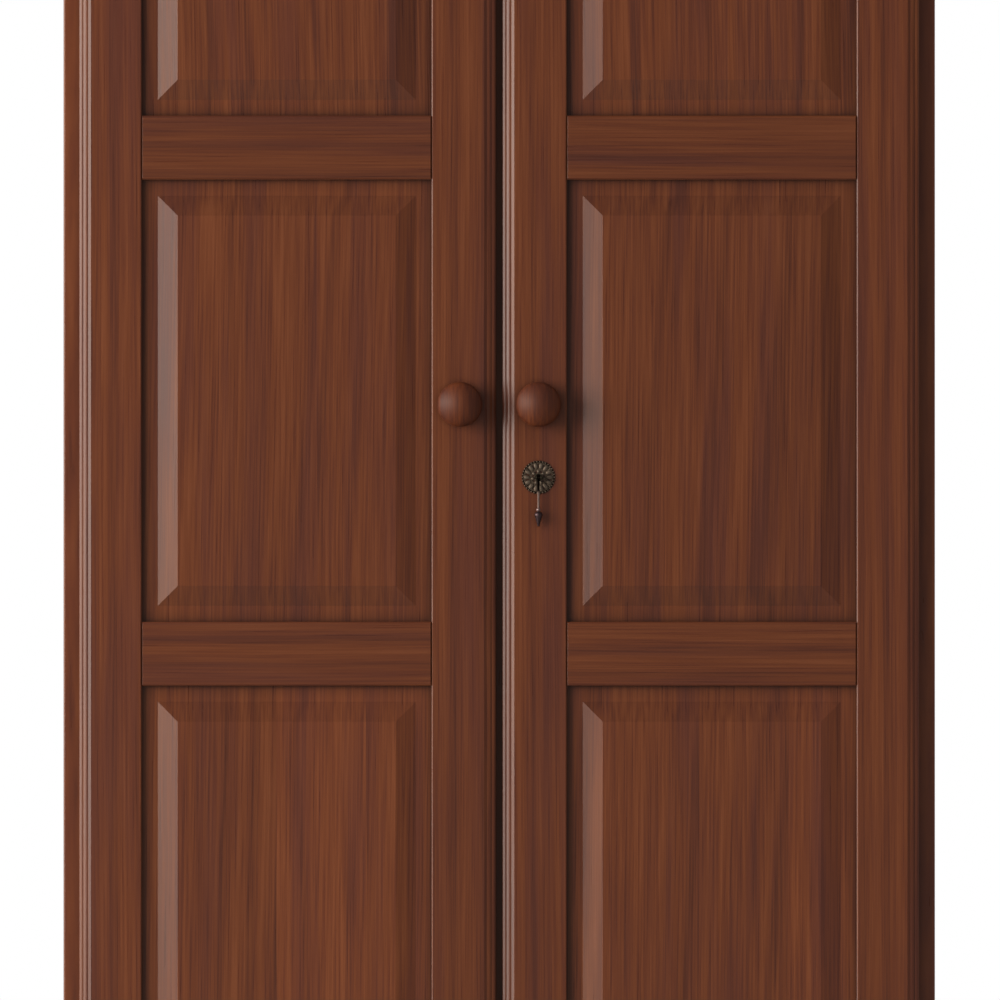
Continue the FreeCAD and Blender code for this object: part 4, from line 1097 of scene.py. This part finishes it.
@dataclass
class Rosette:
    """The cast plate round the keyhole: petals inside a beaded rim, pierced between the petals."""

    plate_radius_mm: float = 17.0
    plate_mm: float = 0.8
    rim_width_mm: float = 1.4
    rim_height_mm: float = 0.45
    hub_radius_mm: float = 3.6
    hub_height_mm: float = 1.2
    ferrule_radius_mm: float = 4.2
    ferrule_length_mm: float = 5.0
    hole_radius_mm: float = 2.5
    bead_count: int = 34
    bead_radius_mm: float = 0.85
    bead_circle_mm: float = 16.4
    petal_count: int = 14
    petal_circle_mm: float = 11.8
    petal_half_mm: Triple = (3.4, 2.1, 0.8)
    slot_half_mm: Triple = (2.5, 0.75, 4.0)
    boss_count: int = 7
    boss_circle_mm: float = 6.0
    boss_half_mm: Triple = (1.9, 1.6, 0.9)
    drill_half_mm: Triple = (1.1, 1.1, 4.0)
    slit_width_mm: float = 1.7
    sides: int = 72
    ornament_sides: int = 20
    ornament_rings: int = 12
    stops: Stops = ((0.0, "#1a1511"), (0.2, "#29221c"), (0.33, "#63564a"), (0.7, "#76695d"))
    roughness: float = 0.58

    def build(self) -> None:
        """Casts the plate and sets it on the right door, under the key."""
        low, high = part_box("lock_rosette")
        face = high.y - self.ferrule_length_mm * MM
        finish = CastBronze("patinated_cast_bronze", self.stops, "Y", (face, low.y), self.roughness)
        bronze = finish.material()
        base = finished_mesh("lock_plate", [turned_shell(self._section(), self.sides, closed=True)], bronze)
        sizes = in_metres({
            "Bead circle": self.bead_circle_mm, "Bead radius": self.bead_radius_mm,
            "Petal circle": self.petal_circle_mm, "Petal half": self.petal_half_mm,
            "Boss circle": self.boss_circle_mm, "Boss half": self.boss_half_mm,
            "Slot half": self.slot_half_mm, "Drill half": self.drill_half_mm,
            "Slit width": self.slit_width_mm, "Plate radius": self.plate_radius_mm,
            "Plate thickness": self.plate_mm,
        })
        sizes["Bead count"] = self.bead_count
        sizes["Petal count"] = self.petal_count
        sizes["Boss count"] = self.boss_count
        mesh = grown_mesh(base, self._tree(sizes, bronze), sizes)
        seat = Matrix.Translation(((low.x + high.x) / 2, face, (low.z + high.z) / 2))
        mesh.transform(seat @ Matrix.Rotation(math.pi / 2, 4, "X"))
        new_piece("lock_plate", mesh, "right_door", "lock_rosette")

    def _section(self) -> Outline:
        """Works out the section of the plate, with the ferrule behind it that lines the keyhole.

        Returns:
            Distance from the axis and height off the door, in millimetres, once round.
        """
        edge, ease, rim = self.plate_radius_mm, self.rim_width_mm / 4, self.rim_height_mm
        inner = edge - self.rim_width_mm
        hole, ferrule, back = self.hole_radius_mm, self.ferrule_radius_mm, -self.ferrule_length_mm
        return [(hole, self.hub_height_mm), (hole, back), (ferrule, back), (ferrule, 0.0), (edge, 0.0),
                (edge, rim - ease), (edge - ease, rim), (inner, rim), (inner - ease, self.plate_mm),
                (self.hub_radius_mm, self.plate_mm), (self.hub_radius_mm - ease, self.hub_height_mm)]

    def _tree(self, sizes: Sizes, bronze: Material) -> NodeTree:
        """Makes the tree that pierces the plate and sets the petals, bosses and beads on it.

        Args:
            sizes: The named sizes.
            bronze: The finish.

        Returns:
            The tree.
        """
        tree = new_geometry_tree("rosette_ornament", sizes)
        size = add_node(tree, "NodeGroupInput").outputs
        position = add_node(tree, "GeometryNodeInputPosition")
        outward = add_node(tree, "FunctionNodeAlignRotationToVector", {"Vector": position}, axis="X")
        lifted = add_node(tree, "ShaderNodeCombineXYZ", {"Z": size["Plate thickness"]})

        def row(kind: str, shape: Node, half: str, between: bool = False) -> Node:
            """Sets a shape round a circle on the plate, pointing outwards.

            Args:
                kind: Which count and circle it takes from the inputs.
                shape: The shape, one unit in radius.
                half: The input that says how far it reaches each way.
                between: Whether the row starts at the bottom, not with a gap there.

            Returns:
                The row.
            """
            count, circle = size[f"{kind} count"], size[f"{kind} circle"]
            sized = add_node(tree, "GeometryNodeTransform", {"Geometry": shape, "Scale": size[half]})
            ring = add_node(tree, "GeometryNodeMeshCircle", {"Vertices": count, "Radius": circle})
            set_out = add_node(tree, "GeometryNodeInstanceOnPoints",
                               {"Points": ring, "Instance": sized, "Rotation": outward})
            gap = 0.0 if between else math.pi
            half_step = add_node(tree, "ShaderNodeMath", (gap, count), operation="DIVIDE")
            angle = add_node(tree, "ShaderNodeMath", (half_step, math.pi / 2), operation="SUBTRACT")
            turn = add_node(tree, "ShaderNodeCombineXYZ", {"Z": angle})
            return add_node(tree, "GeometryNodeTransform",
                            {"Geometry": set_out, "Rotation": turn, "Translation": lifted})

        ball = add_node(tree, "GeometryNodeMeshUVSphere",
                        {"Segments": self.ornament_sides, "Rings": self.ornament_rings, "Radius": 1.0})
        drill = add_node(tree, "GeometryNodeMeshCylinder",
                         {"Vertices": self.ornament_sides, "Radius": 1.0, "Depth": 2.0})
        cutters = []
        for kind, half in (("Petal", "Slot half"), ("Boss", "Drill half")):
            holes = row(kind, drill, half, between=True)
            cutters.append(add_node(tree, "GeometryNodeRealizeInstances", {"Geometry": holes}))
        radius = size["Plate radius"]
        slit_size = add_node(tree, "ShaderNodeCombineXYZ", (size["Slit width"], radius, radius))
        slit = add_node(tree, "GeometryNodeMeshCube", {"Size": slit_size})
        half_way = add_node(tree, "ShaderNodeMath", (radius, -0.5), operation="MULTIPLY")
        place = add_node(tree, "ShaderNodeCombineXYZ", {"Y": half_way})
        cutters.append(add_node(tree, "GeometryNodeTransform", {"Geometry": slit, "Translation": place}))
        pierced = add_node(tree, "GeometryNodeMeshBoolean", {"Mesh 1": size["Geometry"], "Mesh 2": cutters},
                           operation="DIFFERENCE")
        reaches = {"Bead": "Bead radius", "Petal": "Petal half", "Boss": "Boss half"}
        raised = [row(kind, ball, half) for kind, half in reaches.items()]
        end_tree(tree, [pierced, *raised], bronze)
        return tree


@dataclass
class KeyDrop:
    """The hanging bow of the key: an eye on the pin, a rod, a bead and a drop."""

    eye_radius_mm: float = 2.6
    eye_hole_mm: float = 1.0
    eye_half_mm: float = 1.35
    eye_round_mm: float = 0.4
    rod_radius_mm: float = 1.25
    rod_top_mm: float = 1.6
    bead_radius_mm: float = 2.3
    bead_below_mm: float = 33.5
    bead_steps: int = 7
    drop_radius_mm: float = 4.2
    drop_widest_mm: float = 39.0
    drop_steps: int = 8
    tip_radius_mm: float = 1.1
    tip_power: float = 1.3
    tip_steps: int = 12
    end_below_mm: float = 50.7
    sides: int = 40
    # Dark where the rod lies over the plate, pale from the plate's edge down to the bead as a painted
    # highlight, and dark on the drop.
    stops: Stops = ((0.0, "#1d1814"), (0.3, "#2a221d"), (0.36, "#d0b5a8"), (0.6, "#c4a89e"),
                    (0.68, "#937d7c"), (0.73, "#5b4b4e"), (1.0, "#3d3033"))
    roughness: float = 0.45

    def build(self) -> None:
        """Turns the eye and the drop and hangs them on the key's pin."""
        low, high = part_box("key_drop")
        pin_low, pin_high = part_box("key_drop_pin")
        pivot = (pin_low + pin_high) / 2
        finish = CastBronze("bronze_bow_painted_highlight", self.stops, "Z", (high.z, low.z), self.roughness)
        eye = turned_shell(self._eye(), self.sides, closed=True)
        eye.transform(Matrix.Translation(pivot) @ Matrix.Rotation(math.pi / 2, 4, "Y"))
        drop = turned_shell(self._drop(), self.sides)
        drop.transform(Matrix.Translation(pivot))
        mesh = finished_mesh("key_bow", [eye, drop], finish.material())
        new_piece("key_bow", mesh, "key_drop", "key_drop")

    def _eye(self) -> Outline:
        """Works out the section of the eye, with its edges eased.

        Returns:
            Distance from the pin's axis and place along it, in millimetres, once round.
        """
        hole, edge = self.eye_hole_mm, self.eye_radius_mm
        ease, half = self.eye_round_mm, self.eye_half_mm
        return [(hole, half - ease), (hole, ease - half), (hole + ease, -half), (edge - ease, -half),
                (edge, ease - half), (edge, half - ease), (edge - ease, half), (hole + ease, half)]

    def _drop(self) -> Outline:
        """Works out the outline from the rod's top to the drop's tip.

        Returns:
            Distance from the rod's axis and height over the pin, in millimetres.
        """
        rod, bead, tip = self.rod_radius_mm, self.bead_radius_mm, self.tip_radius_mm
        neck = math.sqrt(bead ** 2 - rod ** 2)
        centre, widest = (0.0, -self.bead_below_mm), (bead, -self.bead_below_mm)
        top, foot = (rod, neck - self.bead_below_mm), (rod, -neck - self.bead_below_mm)
        points = [(0.0, -self.rod_top_mm), (rod, -self.rod_top_mm), top]
        points += arc(centre, top, widest, self.bead_steps)
        points += arc(centre, widest, foot, self.bead_steps)
        shoulder = self.drop_widest_mm + foot[1]
        for step in range(1, self.drop_steps + 1):
            angle = step / self.drop_steps * math.pi / 2
            radius = rod + (self.drop_radius_mm - rod) * math.sin(angle)
            points.append((radius, foot[1] - shoulder * (1 - math.cos(angle))))
        taper = self.end_below_mm - self.drop_widest_mm
        for step in range(1, self.tip_steps + 1):
            share = step / self.tip_steps
            radius = tip + (self.drop_radius_mm - tip) * (1 - share) ** self.tip_power
            points.append((radius, -self.drop_widest_mm - taper * share))
        points.append((0.0, -self.end_below_mm))
        return points


@dataclass
class Lock:
    """The lock of the right door with its plate, key and bolt."""

    bronze: Material
    brass: Material
    steel: Material
    plate: Rosette = field(default_factory=Rosette)
    bow: KeyDrop = field(default_factory=KeyDrop)

    def dress(self) -> None:
        """Finishes the pieces of the lock that keep their shape, and the bushes of the doors' pivots."""
        for name in ("key", "key_drop_pin"):
            dress(name, self.bronze)
        for name in ("lock_bolt", "lock_keeper", "pivot_bushes"):
            dress(name, self.brass)
        dress("lock_case", self.steel)

    def build(self) -> None:
        """Casts the plate and the bow of the key."""
        self.plate.build()
        self.bow.build()


def main() -> None:
    """Builds the studio and dresses the wardrobe piece by piece."""
    logging.basicConfig(level=logging.INFO, format="%(name)s: %(message)s")
    Studio().build()
    wood = StainedWood()
    # An ambient occlusion mask darkens the corners round the raised panels: painted shade.
    door_wood = StainedWood(recess_shade_depth=0.5)
    # Veneer peeled off the log has a wide wavy figure. The thin stain leaves it paler and matt.
    plywood = StainedWood("stained_plywood", "#5a3a2a", "#6b4631", "#7a5139", "#8a5f45", "#6a4a3e",
                          ring_mm=14.0, wander_mm=40.0, ring_share=0.4, streak_share=0.34, band_share=0.26,
                          roughness=0.6)
    # Bare beech is pale and matt.
    beech = StainedWood("plain_beech", "#a9825a", "#b98f63", "#c59b6d", "#d0a97c", "#b08c6a", roughness=0.6)
    # A thinner lacquer leaves the shelves satin.
    shelf_wood = StainedWood("satin_stained_hardwood", roughness=0.42)
    # Turned knobs show short marks, a deeper red and a soft shine.
    knob_wood = StainedWood("turned_hardwood", "#451c0c", "#57250d", "#632d0f", "#723814", "#502416",
                            ring_mm=20.0, streak_mm=(1.6, 60.0), band_mm=(26.0, 120.0), roughness=0.58,
                            vein_depth=0.0, end_depth=0.0)
    # Brass turns brown and dull in air and stays yellow in patches.
    brass = FittingFinish("dulled_brass", "#8d6a35", "#b8924f", 3.0, (0.28, 0.45)).material()
    # Zinc plating is a cool grey with a faint cloudiness.
    steel = FittingFinish("zinc_plated_steel", "#8e8f8d", "#b5b5b0", 2.5, (0.3, 0.5)).material()
    # Chrome mirrors the room almost without a flaw.
    chrome = FittingFinish("chromed_steel", "#c9c9c9", "#dedede", 30.0, (0.06, 0.14), bump=0.01).material()
    # Darkened bronze is nearly black, and greyer where it is handled.
    bronze = FittingFinish("darkened_bronze", "#1f1a15", "#575041", 1.6, (0.32, 0.6), bump=0.3).material()
    # Plastic takes the fine grain of its mould and looks even and half matt.
    plastic = FittingFinish("moulded_brown_plastic", "#2a1a14", "#35221a", 0.8, (0.42, 0.55), 0.0).material()
    Carcass(wood, plywood, beech).dress()
    Interior(shelf_wood, steel, chrome, plastic).dress()
    lock = Lock(bronze, brass, steel)
    lock.dress()
    lock.build()
    wood_screws = Screws(crown_radius_mm=3.0, under_radius_mm=1.5, head_height_mm=1.8, shank_radius_mm=1.5)
    knob_screws = Screws(crown_radius_mm=3.5, under_radius_mm=4.2, head_height_mm=2.6, shank_radius_mm=2.0,
                         slot_width_mm=1.2, slot_depth_mm=1.3)
    for side in ("left", "right"):
        door = Door(side, door_wood, knob_wood, brass, steel)
        door.dress()
        door.build()
        wood_screws.build(f"{side}_door_screws", f"{side}_door_slotted_screws", f"{side}_door", steel)
        knob_screws.build(f"{side}_knob_screw", f"{side}_knob_slotted_screw", f"{side}_door", steel)
    wood_screws.build("case_screws", "case_slotted_screws", "carcass", steel)


if __name__ == "__main__":
    main()
